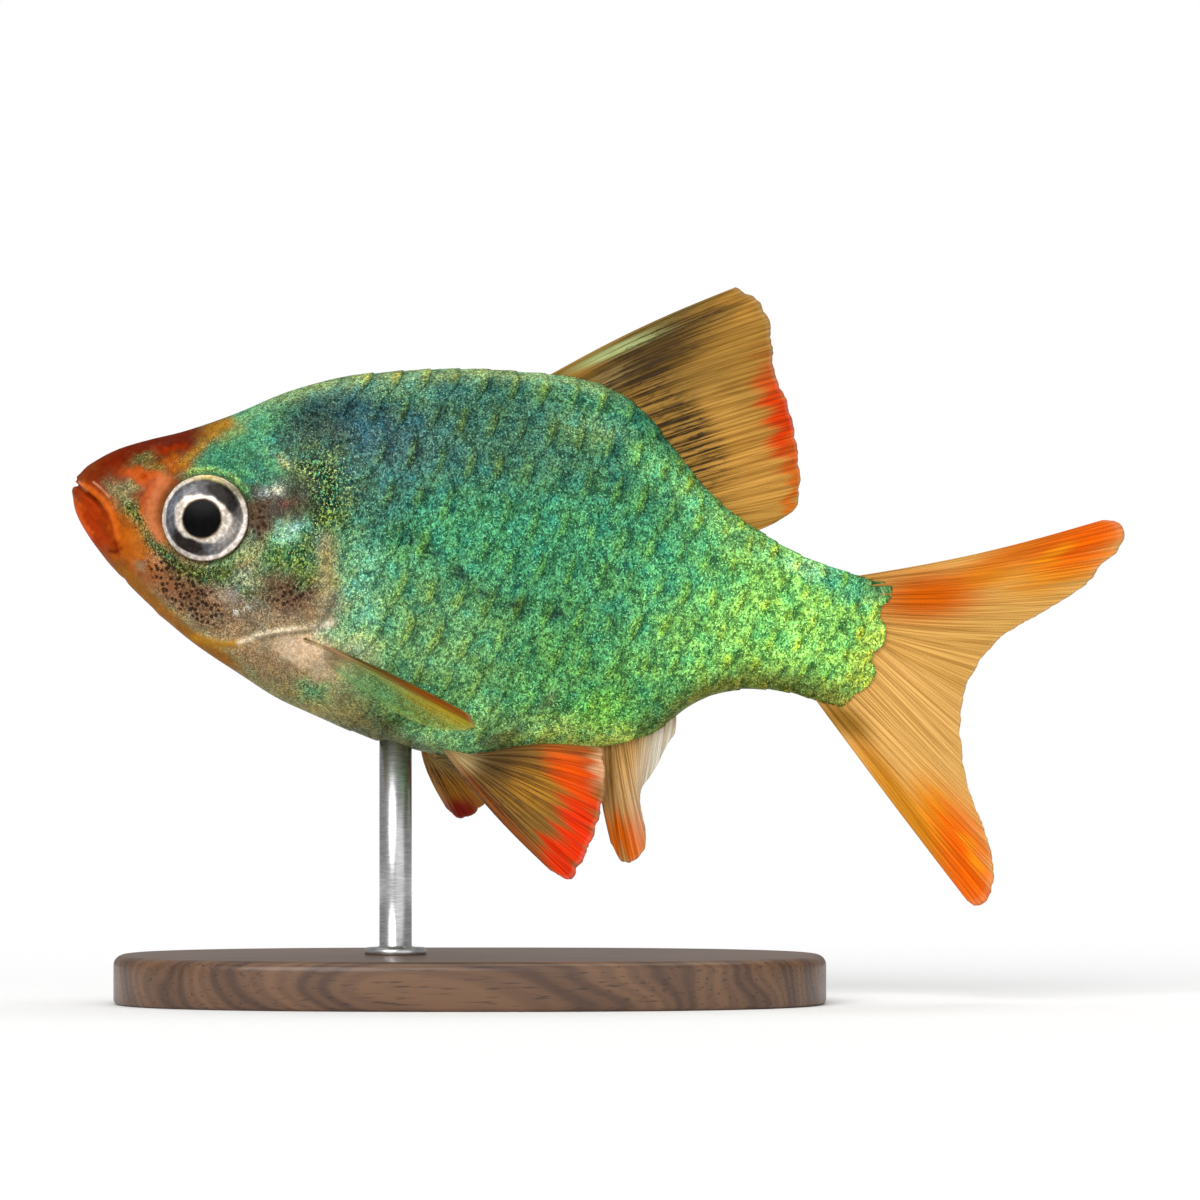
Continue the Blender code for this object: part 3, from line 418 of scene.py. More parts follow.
# Each field of dark dots: x, z, half length, half height, lean in degrees, how dense
DOT_FIELDS = (
    (8.0, -4.45, 2.7, 1.1, -34, 1.0),
    (14.4, -3.6, 2.0, 1.0, 20, 0.5),
    (11.7, 0.4, 1.0, 1.8, 0, 0.45),
    (14.5, -8.6, 3.0, 1.0, -18, 0.3),
    (11.8, -4.9, 5.0, 1.8, -5, 0.2),
)


def soft_patch(x, z, at_x, at_z, long, high, lean):
    """Share of a patch at each (x, z), even in the middle and fading at the rim."""
    turn = math.radians(lean)
    dx, dz = x - at_x, z - at_z
    ahead = (dx * math.cos(turn) + dz * math.sin(turn)) / long
    aside = (dz * math.cos(turn) - dx * math.sin(turn)) / high
    return np.exp(-0.69 * (ahead**2 + aside**2) ** 1.6)


def body_markings(x, z):
    """Colour, glitter and dark dots of the skin and its scales at each (x, z)."""
    ragged_x = x + 0.15 * np.sin(5.1 * z + 1.3 * x) + 0.07 * np.sin(13.0 * x - 7.0 * z)
    ragged_z = z + 0.13 * np.sin(4.3 * x - 2.0 * z) + 0.07 * np.sin(11.0 * z + 6.0 * x)
    tint = np.broadcast_to(dye(*FLANK), (*np.shape(x), 3)).copy()
    glitter = np.ones(np.shape(x))

    def lay(share, colour, shine):
        nonlocal tint, glitter
        tint = tint + (dye(*colour) - tint) * share[..., None]
        glitter = glitter + (shine - glitter) * share

    for at_x, at_z, long, high, lean, strength, colour, shine in PATCHES:
        lay(strength * soft_patch(ragged_x, ragged_z, at_x, at_z, long, high, lean), colour, shine)
    back, belly = section(x)[:2]
    lay(0.85 * hump(back - z - 0.1, 0.7) * rise(x, 8.5, 12) * (1 - rise(x, 30, 34)), BACK_RIM, 0.8)
    # Along the belly edge: its olive tint, lightened as painted light against the shade there.
    under = (1 - rise(z - belly, 0.3, 1.6)) * rise(x, 17.5, 20.5) * (1 - rise(x, 24, 27))
    lay(0.85 * under, BELLY_RIM, 0.5)
    lay(0.88 * (1 - rise(z - belly, 0.5, 2.3)) * rise(x, 35.5, 39.5), STALK_RIM, 0.8)
    throat = (1 - rise(z - belly, 0.45, 1.15)) * rise(x, 2.6, 4.2) * (1 - rise(x, 11, 13))
    lay(0.95 * throat, THROAT, 0.1)
    for path, width, strength, colour, shine in STRIPES:
        lay(strength * hump(line_distance(path, x, z), width), colour, shine)
    dots = np.zeros(np.shape(x))
    for *field, dense in DOT_FIELDS:
        dots = np.maximum(dots, dense * soft_patch(x, z, *field))
    return tint, glitter, dots


class Wire:
    """An output of a finish's nodes, so that shader maths reads as an expression."""

    def __init__(self, finish, socket):
        self.finish = finish
        self.socket = socket

    def combine(self, operation, first, second):
        return self.finish.node("Math", {"operation": operation}, {0: first, 1: second})

    def __add__(self, other):
        return self.combine("ADD", self, other)

    def __radd__(self, other):
        return self.combine("ADD", other, self)

    def __sub__(self, other):
        return self.combine("SUBTRACT", self, other)

    def __rsub__(self, other):
        return self.combine("SUBTRACT", other, self)

    def __mul__(self, other):
        return self.combine("MULTIPLY", self, other)

    def __rmul__(self, other):
        return self.combine("MULTIPLY", other, self)

    def __pow__(self, other):
        return self.combine("POWER", self, other)

    def __abs__(self):
        return self.combine("ABSOLUTE", self, 0)

    def rises(self, low, high):
        return self.finish.node(
            "MapRange", {"interpolation_type": "SMOOTHSTEP"}, {0: self, 1: low, 2: high}
        )


class Finish:
    """A material on one Principled shader, with its nodes made and joined by one method."""

    def __init__(self, name, **fixed):
        self.material = bpy.data.materials.new(name)
        self.material.use_nodes = True
        self.shader = self.material.node_tree.nodes["Principled BSDF"]
        for socket, value in fixed.items():
            self.shader.inputs[socket.replace("_", " ")].default_value = value

    def join(self, target, value):
        if isinstance(value, Wire):
            self.material.node_tree.links.new(value.socket, target)
        else:
            target.default_value = value

    def node(self, kind, settings, sockets, output=0):
        made = self.material.node_tree.nodes.new("ShaderNode" + kind)
        for setting, value in settings.items():
            setattr(made, setting, value)
        for socket, value in sockets.items():
            self.join(made.inputs[socket], value)
        return Wire(self, made.outputs[output])

    def layer(self, name):
        return self.node("Attribute", {"attribute_name": name}, {}, 2)

    def vector_layer(self, name):
        return self.node("Attribute", {"attribute_name": name}, {}, 1)

    def axes(self, place):
        """The three parts of a vector, each as a wire."""
        parts = self.node("SeparateXYZ", {}, {0: place}).socket.node
        return [Wire(self, part) for part in parts.outputs]

    def noise(self, place, scale, detail=2.0, roughness=0.5):
        sockets = {"Vector": place, "Scale": scale, "Detail": detail, "Roughness": roughness}
        return self.node("TexNoise", {}, sockets)

    def stretched(self, place, *shares):
        return self.node("VectorMath", {"operation": "MULTIPLY"}, {0: place, 1: shares})

    def mix(self, share, first, second, way="MIX"):
        sockets = {0: share, 6: first, 7: second}
        return self.node("Mix", {"data_type": "RGBA", "blend_type": way}, sockets, 2)

    def toned(self, colour, *shares):
        """A colour with its red, green and blue each made darker or lighter by its own share."""
        return self.mix(1.0, colour, (*shares, 1), "MULTIPLY")

    def bump(self, height, strength, distance):
        return self.node("Bump", {}, {"Height": height, "Strength": strength, "Distance": distance * MM})

    def wear(self, **wires):
        for socket, value in wires.items():
            self.join(self.shader.inputs[socket.replace("_", " ")], value)
        return self.material


def glitter_skin(name, scaled):
    """Skin with guanine crystals: a worm-like glitter from dark to bright over the painted tint."""
    skin = Finish(name, Coat_Roughness=0.16, Specular_IOR_Level=0.01)
    place = skin.vector_layer("place")
    tint = skin.vector_layer("tint")
    shine = skin.layer("glitter")
    upright = skin.stretched(place, 1.0, 1.0, 0.7)
    grain = skin.noise(upright, 7.0, 2.0, 0.7)
    worms = abs(skin.noise(upright, 4.4, 1.0, 0.5) - 0.5).rises(0.09, 0.01)
    clumps = skin.noise(place, 2.2, 2.0, 0.6)
    drift = skin.noise(place, 0.85, 2.0, 0.6)
    sparks = skin.noise(place, 10.5, 0.0, 0.5)
    patchy = clumps.rises(0.34, 0.60) * 0.75 + 0.26
    bright = (grain.rises(0.34, 0.68) * 0.6 + worms * 0.5) * patchy
    # The glitter: darker and lighter copies of the tint mixed by noise, the crystals' own speckle with
    # their sparkle of light painted in.
    dark_end = skin.toned(tint, 0.20, 0.30, 0.32)
    lit = skin.toned(tint, 2.05, 2.2, 2.15)
    light_end = skin.mix(1.0, lit, (0.02, 0.035, 0.025, 1), "ADD")
    colour = skin.mix(bright, dark_end, light_end)
    teal = skin.toned(colour, 0.45, 0.92, 1.35)
    lime = skin.toned(colour, 1.45, 1.08, 0.66)
    colour = skin.mix(drift.rises(0.50, 0.68) * 0.65, colour, teal)
    colour = skin.mix(drift.rises(0.50, 0.34) * 0.6, colour, lime)
    # Painted glints: the brightest sparks, the tint tripled and lightened.
    tripled = skin.toned(tint, 3.0, 3.0, 3.0)
    spark = skin.mix(1.0, tripled, (0.10, 0.16, 0.10, 1), "ADD")
    colour = skin.mix(sparks.rises(0.64, 0.74) * 0.7, colour, spark)
    flash = (shine - 1.0) * 2.5
    ground = skin.toned(colour, 0.40, 0.42, 0.34)
    # Where the glitter is above one: a darker ground under painted glints, green chains and yellow-green
    # sparks.
    glint = skin.mix(drift.rises(0.40, 0.60), (0.28, 0.40, 0.06, 1), (0.11, 0.42, 0.20, 1))
    chains = skin.noise(skin.stretched(place, 1.0, 1.0, 0.6), 6.2, 1.0, 0.5)
    colour = skin.mix(flash, colour, ground)
    colour = skin.mix(flash * chains.rises(0.53, 0.66), colour, glint)
    colour = skin.mix(flash * sparks.rises(0.64, 0.72) * 0.85, colour, (0.58, 0.66, 0.22, 1))
    mottle = skin.noise(place, 2.6, 3.0, 0.6)
    plain = skin.mix(mottle.rises(0.3, 0.7) * 0.6, tint, skin.toned(tint, 0.66, 0.48, 0.38))
    colour = skin.mix(shine, plain, colour)
    back_from_snout, _, height_up = skin.axes(place)
    flat = skin.node("CombineXYZ", {}, {0: back_from_snout, 1: height_up})
    sockets = {"Vector": flat, "Scale": 2.7, "Randomness": 1.0}
    speckles = skin.node("TexVoronoi", {"voronoi_dimensions": "2D"}, sockets)
    ragged = speckles + (grain - 0.5) * 0.45 + (mottle - 0.5) * 0.5
    dots = skin.layer("dots")
    speck = ragged.rises(0.40, 0.22) * dots.rises(0.2, 0.5)
    freckle = sparks.rises(0.42, 0.34) * dots.rises(0.04, 0.24)
    colour = skin.mix(freckle * 0.6, colour, (0.060, 0.030, 0.016, 1))
    colour = skin.mix(speck * 0.92, colour, (0.024, 0.010, 0.005, 1))
    height = grain * 0.6 + sparks * 0.4
    if scaled:
        ahead, aside, chance = skin.axes(skin.vector_layer("scale_at"))
        away = (ahead * ahead + aside * aside) ** 0.5
        frayed = (mottle - 0.5) * 0.5
        middle = (abs(aside) + frayed).rises(0.50, 0.12)
        # Painted highlight and lime colour: the free rear rim of each scale, made lighter as where it
        # catches the light.
        rim_mark_and_highlight = (ahead + frayed * 0.5).rises(0.68, 0.84) * away.rises(1.05, 0.94) * middle
        limed = skin.toned(colour, 1.58, 1.14, 0.60)
        higher = height_up.rises(-8.0, -2.0) * 0.5 + 0.5
        colour = skin.mix(rim_mark_and_highlight * (chance * 0.7 + 0.28) * higher, colour, limed)
        # Painted shadow and dark pigment: the band just behind the rim of the scale in front, made darker
        # as where that rim shades it.
        shade = (ahead + frayed * 0.5).rises(0.52, 0.16) * ahead.rises(0.02, 0.14) * middle
        dark = skin.toned(colour, 0.25, 0.38, 0.44)
        colour = skin.mix(shade * (chance * 0.5 + 0.42) * higher, colour, dark)
    return skin.wear(
        Base_Color=colour,
        Roughness=0.46 - bright * shine * 0.16,
        Metallic=shine * 0.25,
        Coat_Weight=0.05 + shine * 0.03,
        Normal=skin.bump(height, 0.35, 0.08),
    )


head_x = HEAD_LENGTH * np.linspace(0.012, 1, HEAD_STATIONS) ** 1.5
body_x = np.linspace(HEAD_LENGTH, BODY_END, BODY_STATIONS + 1)[1:]
stations = np.concatenate([head_x, body_x])
skin_rings, skin_normals = skin_points(stations, SIDES)
rows = len(stations)
snout = np.array([0.0, 0.0, SECTIONS[0][1]])
tail_stump = skin_rings[-1].mean(0) + np.array([0.25, 0, 0])
skin_mm = np.concatenate([snout[None], skin_rings.reshape(-1, 3), tail_stump[None]])
first = 1 + np.arange(SIDES)
last = 1 + (rows - 1) * SIDES + np.arange(SIDES)
skin_faces = [(0, a, b) for a, b in zip(first, np.roll(first, -1))]
skin_faces += (round_faces(rows, SIDES) + 1).tolist()
skin_faces += [(len(skin_mm) - 1, b, a) for a, b in zip(last, np.roll(last, -1))]
turn_share = np.arange(SIDES) / SIDES
row_share = (np.arange(rows) + 1) / (rows + 1)
turn_next = turn_share + 1 / SIDES
slices = list(zip((turn_share + turn_next) / 2, turn_share, turn_next))
front_cap = [((0, m), (row_share[0], a), (row_share[0], b)) for m, a, b in slices]
rear_cap = [((1, m), (row_share[-1], b), (row_share[-1], a)) for m, a, b in slices]
low, high = np.meshgrid(row_share[:-1], turn_share, indexing="ij")
up, over = np.meshgrid(row_share[1:], turn_next, indexing="ij")
quads = np.stack([low, high, up, high, up, over, low, over], -1)
skin_map = np.concatenate([np.ravel(front_cap), quads.ravel(), np.ravel(rear_cap)])
skin_tint, skin_glitter, skin_dots = body_markings(skin_mm[:, 0], skin_mm[:, 2])
new_piece(
    "skin",
    to_metres(skin_mm),
    skin_faces,
    glitter_skin("fish_skin", False),
    "root",
    ("head", "lower_jaw", "gill_cover_left", "gill_cover_right", "trunk", "tail_stalk"),
    {"place": skin_mm, "tint": skin_tint, "glitter": skin_glitter, "dots": skin_dots},
    skin_map,
)

# Scales
# Thin round plates of bone in the skin, each lapping the one behind like a roof tile, in rows that
# draw together towards the tail. They carry the skin's colours and are joined, one piece a side.
ROW_SPACING = ((12, 2.5), (18, 2.75), (31, 2.75), (36, 2.35), (40, 1.9), (44, 1.6), (51.1, 1.4))
ROW_AXIS = ((12, -0.35), (35, -0.35), (42, 0.2), (51.1, -0.25))
SCALE_PITCH = ((12, 1.82), (34, 1.82), (42, 1.6), (51.1, 1.4))
SCALE_FRONT = (
    (-11.5, 16.5), (-9.0, 16.8), (-7.0, 17.8), (-5.2, 17.3), (-3.7, 18.1), (-1.3, 18.15), (0.9, 17.8),
    (3.2, 16.9), (4.5, 15.6), (6.0, 14.8), (9.0, 13.6), (12.0, 13.0),
)
SCALE_LENGTH_SHARE, SCALE_HEIGHT_SHARE = 2.35, 1.95
SCALE_THICK, SCALE_TILT = 0.024, 0.085
SCALE_GRID = 13
COAT_START, SCALES_END = 11.5, 49.6
ARC_STEP, ARC_REACH = 0.1, 17.0
PATCH_HALF = 0.0015
rng = np.random.default_rng(7)


def table_at(table, x):
    """Value at x of a table of places and values."""
    knots, values = zip(*table)
    return np.interp(x, knots, values)


arc_grid = np.arange(-ARC_REACH, ARC_REACH + ARC_STEP / 10, ARC_STEP)
coat_rows = np.flatnonzero(stations > COAT_START)
coat_x = stations[coat_rows]
order = (np.arange(SIDES) - SIDES // 4) % SIDES
left = (np.arange(SIDES) > SIDES // 4) & (np.arange(SIDES) < 3 * SIDES // 4)
coat_points = np.zeros((len(coat_rows), len(arc_grid), 3))
coat_normals = np.zeros_like(coat_points)
for row, station in enumerate(coat_rows):
    ring = skin_rings[station][order]
    ring_normals = skin_normals[station][order]
    length = np.concatenate([[0], np.cumsum(np.linalg.norm(np.diff(ring, axis=0), axis=1))])
    axis_z = table_at(ROW_AXIS, stations[station])
    centre = np.interp(-axis_z, -ring[left][:, 2], length[left])
    for k in range(3):
        coat_points[row, :, k] = np.interp(centre - arc_grid, length, ring[:, k])
        coat_normals[row, :, k] = np.interp(centre - arc_grid, length, ring_normals[:, k])


def on_left_side(x, arc):
    """Point and outward normal of the left side's skin at x, an arc up from the axis of the rows."""
    i = np.clip(np.searchsorted(coat_x, x) - 1, 0, len(coat_x) - 2)
    t = np.clip((x - coat_x[i]) / (coat_x[i + 1] - coat_x[i]), 0, 4)[..., None]
    j = np.clip(((arc - arc_grid[0]) / ARC_STEP).astype(int), 0, len(arc_grid) - 2)
    s = ((arc - arc_grid[j]) / ARC_STEP)[..., None]

    def blend(grid):
        near = grid[i, j] * (1 - s) + grid[i, j + 1] * s
        far = grid[i + 1, j] * (1 - s) + grid[i + 1, j + 1] * s
        return near * (1 - t) + far * t

    normal = blend(coat_normals)
    return blend(coat_points), normal / np.linalg.norm(normal, axis=-1, keepdims=True)


def scale_centres():
    """Centres of one side's scales as (x, arc), row by row, each row half a scale out of step."""
    centres = []
    for row in range(-7, 8):
        x = 11.0 + SCALE_PITCH[0][1] / 2 * (row % 2)
        while x < SCALES_END:
            x += float(table_at(SCALE_PITCH, x))
            arc = (row + 0.5) * float(table_at(ROW_SPACING, x))
            point, _ = on_left_side(np.array(x), np.array(arc))
            on_this_side = point[1] < 0.25
            ends = SCALES_END - 0.11 * max(0.0, END_MIDDLE_Z - point[2]) ** 1.5
            if on_this_side and table_at(SCALE_FRONT, point[2]) < x < ends:
                centres.append((x, arc))
    return np.array(centres)


def scale_faces(count):
    """Faces of closed plates, each an upper and a lower grid joined round the rim."""
    at = np.arange(SCALE_GRID**2).reshape(SCALE_GRID, SCALE_GRID)
    quads = np.stack([at[:-1, :-1], at[1:, :-1], at[1:, 1:], at[:-1, 1:]], -1).reshape(-1, 4)
    rim = np.concatenate([at[0, :-1], at[:-1, -1], at[-1, :0:-1], at[:0:-1, 0]])
    after = np.roll(rim, -1)
    below = SCALE_GRID**2
    edge = np.stack([rim, after, after + below, rim + below], -1)
    one = np.concatenate([quads, quads[:, ::-1] + below, edge])
    return (one[None] + (np.arange(count) * 2 * below)[:, None, None]).reshape(-1, 4)


grid_u, grid_v = np.meshgrid(np.linspace(-1, 1, SCALE_GRID), np.linspace(-1, 1, SCALE_GRID), indexing="ij")
plate_ahead = (grid_u * np.sqrt(1 - grid_v**2 / 2)).ravel()
plate_aside = (grid_v * np.sqrt(1 - grid_u**2 / 2)).ravel()
scale_skin = glitter_skin("fish_scales", True)
centres = scale_centres()
count = len(centres)
faces = scale_faces(count)
ahead = np.tile(plate_ahead, 2)
aside = np.tile(plate_aside, 2)
face = np.repeat([1, -1], SCALE_GRID**2)
for side, word in ((-1, "left"), (1, "right")):
    jitter = rng.normal(0, 1, (count, 4))
    centre_x = centres[:, 0] + 0.05 * jitter[:, 0]
    centre_arc = centres[:, 1] + 0.05 * jitter[:, 1]
    long = table_at(SCALE_PITCH, centre_x) * SCALE_LENGTH_SHARE / 2
    high = table_at(ROW_SPACING, centre_x) * SCALE_HEIGHT_SHARE / 2
    lean = 0.12 + 0.16 * rise(-centre_arc, -4, 6)
    x = centre_x[:, None] + long[:, None] * ahead + lean[:, None] * high[:, None] * aside
    arc = centre_arc[:, None] + high[:, None] * aside - 0.06 * long[:, None] * ahead
    point, normal = on_left_side(np.minimum(x, BODY_END + 0.5), arc)
    tilt = SCALE_TILT * (1 + 0.12 * jitter[:, 2:3])
    away = np.sqrt(ahead**2 + aside**2)
    level = 0.03 + tilt * ahead - 0.03 * aside**2
    level = level + face * SCALE_THICK / 2 * (1 - 0.6 * away**4)
    plates = point + normal * level[..., None]
    tint, glitter, dots = body_markings(point[..., 0], point[..., 2])
    brightness = 1 + 0.07 * jitter[:, 3, None, None]
    at = np.stack(np.broadcast_arrays(ahead, aside, rng.random((count, 1))), -1)
    root_turn = 0.5 + side * (0.04 + (ARC_REACH - centre_arc) / (5 * ARC_REACH))
    root = np.stack([(centre_x - long) / BODY_END, root_turn], -1)
    patch = root[:, None, :] + PATCH_HALF * np.stack([ahead, aside], -1)[None]
    plates[..., 1] *= -side
    new_piece(
        "scales_" + word,
        to_metres(plates.reshape(-1, 3)),
        faces,
        scale_skin,
        "root",
        (),
        {
            "place": plates.reshape(-1, 3),
            "tint": (tint * brightness).reshape(-1, 3),
            "glitter": glitter.ravel(),
            "dots": dots.ravel(),
            "scale_at": at.reshape(-1, 3),
        },
        patch.reshape(-1, 2)[faces],
    )

# Eyes
# A wet dome of one coated surface, painted as a silvery iris: a black pupil set a little forward and low,
# a cream ring round it, a smoky grey iris and a white outer ring. Each eye sits in its socket of skin.
EYE_DOME, EYE_DEEP, EYE_CUP = 0.70, 1.3, 1.45
PUPIL_RADIUS, PUPIL_FORWARD, PUPIL_LOWERED = 1.20, 0.05, 0.12
EYE_RINGS, EYE_SPOKES = 64, 128


def capped_faces(rows, columns):
    """Faces of rings of points, joined ring to ring and closed at both ends."""
    start = list(range(columns))
    end = list(range((rows - 1) * columns, rows * columns))
    return round_faces(rows, columns).tolist() + [start, end]


eye_finish = Finish("eye_dome", Coat_Weight=0.05, Coat_Roughness=0.22, Specular_IOR_Level=0.05)
iris_place = eye_finish.vector_layer("place")
iris_tint = eye_finish.vector_layer("tint")
iris_grain = eye_finish.noise(iris_place, 3.2, 3.0, 0.6)
iris_dark = eye_finish.toned(iris_tint, 0.58, 0.55, 0.53)
eye_colour = eye_finish.mix(iris_grain.rises(0.40, 0.62), iris_dark, iris_tint)
eye_material = eye_finish.wear(
    Base_Color=eye_colour,
    Roughness=0.16 + iris_grain * 0.2,
    Metallic=eye_finish.layer("silver") * 0.3,
    Normal=eye_finish.bump(iris_grain, 0.12, 0.05),
)

spread = np.linspace(0, 1, EYE_RINGS)
dome_turn = spread * math.pi / 2
cup_turn = spread[1:] * EYE_CUP
profile_r = EYE_RADIUS * np.concatenate([np.sin(dome_turn), np.cos(cup_turn)])
profile_h = np.concatenate([EYE_DOME * np.cos(dome_turn) ** 1.15, -EYE_DEEP * np.sin(cup_turn)])
profile_r[0] = 0.004
spokes = np.linspace(0, 2 * math.pi, EYE_SPOKES, endpoint=False)
eye_u = profile_r[:, None] * np.cos(spokes)
eye_v = profile_r[:, None] * np.sin(spokes)
from_pupil = np.hypot(eye_u + PUPIL_FORWARD, eye_v + PUPIL_LOWERED)
from_centre = np.hypot(eye_u, eye_v)
around = np.degrees(np.arctan2(eye_v, eye_u))
wobble = 0.04 * np.sin(5 * spokes + 1.0) + 0.03 * np.sin(11 * spokes)
ring_edge = PUPIL_RADIUS + 0.16 + 0.38 * np.cos(spokes + 0.15) ** 2 + wobble
smoke_above = hump(around - 56, 48) * hump(from_centre - 1.86, 0.56)
smoke_below = hump(around + 112, 40) * hump(from_centre - 1.90, 0.56)
iris = np.broadcast_to(dye(140, 140, 144), (*eye_u.shape, 3)).copy()
# Each layer of the iris, from the ground up: its share at each point, its colour
for share, colour in (
    (0.8 * hump((around + 2) % 360 - 180, 44), (122, 128, 140)),
    (0.9 * hump(around + 12, 38), (190, 184, 176)),
    (0.45 * hump(from_centre - 2.24, 0.08), (84, 80, 82)),
    (0.45 * hump(around - 100, 50) * hump(from_centre - 1.8, 0.6), (92, 84, 80)),
    (np.clip(1.6 * smoke_above, 0, 0.96), (28, 24, 20)),
    (np.clip(1.6 * smoke_below, 0, 0.96), (34, 25, 22)),
    (rise(ring_edge - from_pupil, -0.16, 0.06), (240, 230, 216)),
    (rise(from_centre, 2.34 + wobble / 2, 2.44 + wobble / 2), (255, 244, 234)),
    (0.8 * rise(from_centre, 2.24, 2.42) * hump(around - 94, 30), (222, 204, 104)),
    (0.7 * rise(from_centre, 2.24, 2.42) * hump(around - 50, 20), (128, 122, 78)),
    (0.6 * rise(from_centre, 2.3, 2.45) * hump(around + 118, 34), (138, 134, 120)),
    (rise(from_centre, 2.60, 2.68), (120, 100, 74)),
    (hump(from_pupil - PUPIL_RADIUS, 0.07), (120, 96, 66)),
    (1 - rise(from_pupil, PUPIL_RADIUS - 0.05, PUPIL_RADIUS + 0.02), (5, 5, 6)),
):
    iris = iris + (dye(*colour) - iris) * share[..., None]
silver = rise(from_pupil, PUPIL_RADIUS, PUPIL_RADIUS + 0.1)
eye_faces = capped_faces(len(profile_r), EYE_SPOKES)
for side, word in ((-1, "left"), (1, "right")):
    facing = side_normal(EYE_X, EYE_Z, side)
    centre = np.array([EYE_X, side * float(half_width(EYE_X, EYE_Z)), EYE_Z])
    along_body = np.array([1.0, 0, 0]) - facing[0] * facing
    along_body /= np.linalg.norm(along_body)
    upward = np.cross(facing, along_body) * side
    upward *= np.sign(upward[2])
    eye_mm = centre + eye_u[..., None] / along_body[0] * along_body + eye_v[..., None] * upward
    eye_mm = eye_mm + profile_h[:, None, None] * facing
    new_piece(
        "eye_dome_" + word,
        to_metres(eye_mm.reshape(-1, 3)),
        eye_faces,
        eye_material,
        "root",
        ("eye_" + word,),
        {"place": eye_mm.reshape(-1, 3), "tint": iris.reshape(-1, 3), "silver": silver.ravel()},
    )

# Fins
# Thin webs stretched between rays of bone, which branch twice on their way out. The roots are sunk in
# the skin. Mostly amber, with dark streaks near the root and orange or red at the rim.
DORSAL_MARGIN = (
    (37.9, 20.1), (39.3, 19.65), (40.25, 18.6), (40.8, 17.0), (41.3, 15.3), (42.3, 13.8), (43.1, 12.1),
    (43.7, 10.3), (44.1, 8.5), (44.0, 7.2), (43.2, 6.5),
)
ANAL_MARGIN = (
    (36.55, -15.1), (37.6, -16.2), (38.6, -15.5), (38.6, -14.2), (38.0, -13.0), (37.8, -11.6),
    (38.4, -10.2), (38.8, -8.8), (39.25, -7.75),
)
TAIL_FORK = (56.4, -2.4)
TAIL_UPPER_ROOT = ((49.4, 4.35), (50.2, 4.1), (50.8, 3.2), (51.4, 1.4), (51.5, -0.3))
TAIL_UPPER_MARGIN = (
    (62.9, 10.1), (64.0, 10.1), (64.4, 9.3), (64.2, 8.4), (63.4, 7.5), (62.9, 6.4), (61.4, 4.8),
    (59.8, 3.4), (58.2, 2.0), (57.2, 0.5), (56.5, -1.5), TAIL_FORK,
)
TAIL_LOWER_ROOT = ((47.9, -4.55), (49.2, -4.75), (50.4, -4.6), (51.1, -3.6), (51.4, -2.0), (51.5, -0.3))
TAIL_LOWER_MARGIN = (
    (58.9, -14.6), (59.6, -14.9), (60.2, -14.2), (60.3, -13.0), (59.6, -10.9), (59.0, -9.8), (58.2, -8.6),
    (57.6, -7.5), (56.9, -5.5), (56.5, -3.7), TAIL_FORK,
)
PELVIC_LEFT_MARGIN = (
    (33.2, -17.3), (34.4, -17.7), (35.15, -16.1), (35.55, -13.8), (35.6, -11.8), (34.95, -9.35),
)
PELVIC_RIGHT_MARGIN = (
    (26.1, -15.0), (27.3, -15.5), (28.2, -14.5), (29.4, -13.3), (30.5, -12.4), (31.2, -11.7),
)
PECTORAL_ROOT = ((16.6, -6.2), (16.8, -6.8))
PECTORAL_MARGIN = (
    (26.6, -8.8), (27.25, -9.2), (26.4, -9.85), (24.9, -10.05), (23.4, -9.85), (22.0, -9.4), (20.6, -8.6),
)
PELVIC_ROOT_Y = 1.3
FIN_ROWS, RAY_COLUMNS = 60, 16
RAY_HALF, WEB_HALF, WEB_NOTCH = 0.15, 0.05, 0.11
BRANCH_FROM, TWIG_FROM = 0.35, 0.68


def in_plane(points):
    """Points of a fin that stands in the middle plane of the body."""
    return [(x, 0.0, z) for x, z in points]


def profile_root(start, end, edge):
    """Root line of a median fin, just outside the back (edge 0) or the belly (edge 1)."""
    x = np.linspace(start, end, 8)
    z = section(x)[edge] + 0.35 * (1 if edge == 0 else -1)
    return in_plane(list(zip(x, z)))


def pelvic_rim(side, root, margin, splay):
    """Root and margin of a pelvic fin, spread out from the middle plane."""
    x = np.linspace(*root, 4)
    _, belly, width, middle = section(x)
    below = middle - (middle - belly) * np.sqrt(1 - (PELVIC_ROOT_Y / width) ** 2) - 0.55
    start = [(at, side * PELVIC_ROOT_Y, z) for at, z in zip(x, below)]
    spread = along(margin, np.linspace(0, 1, 8))
    return start, [(x, side * (PELVIC_ROOT_Y + splay), z) for x, z in spread]


def pectoral_rim(side, flare):
    """Root and margin of a pectoral fin, held a little off the flank."""
    root = along(PECTORAL_ROOT, np.linspace(0, 1, 4))
    start = [(x, side * (float(half_width(x, z)) + 0.05), z) for x, z in root]
    edge_y = float(half_width(*PECTORAL_ROOT[0])) + 0.2
    spread = along(PECTORAL_MARGIN, np.linspace(0, 1, 8))
    return start, [(x, side * (edge_y + flare), z) for x, z in spread]


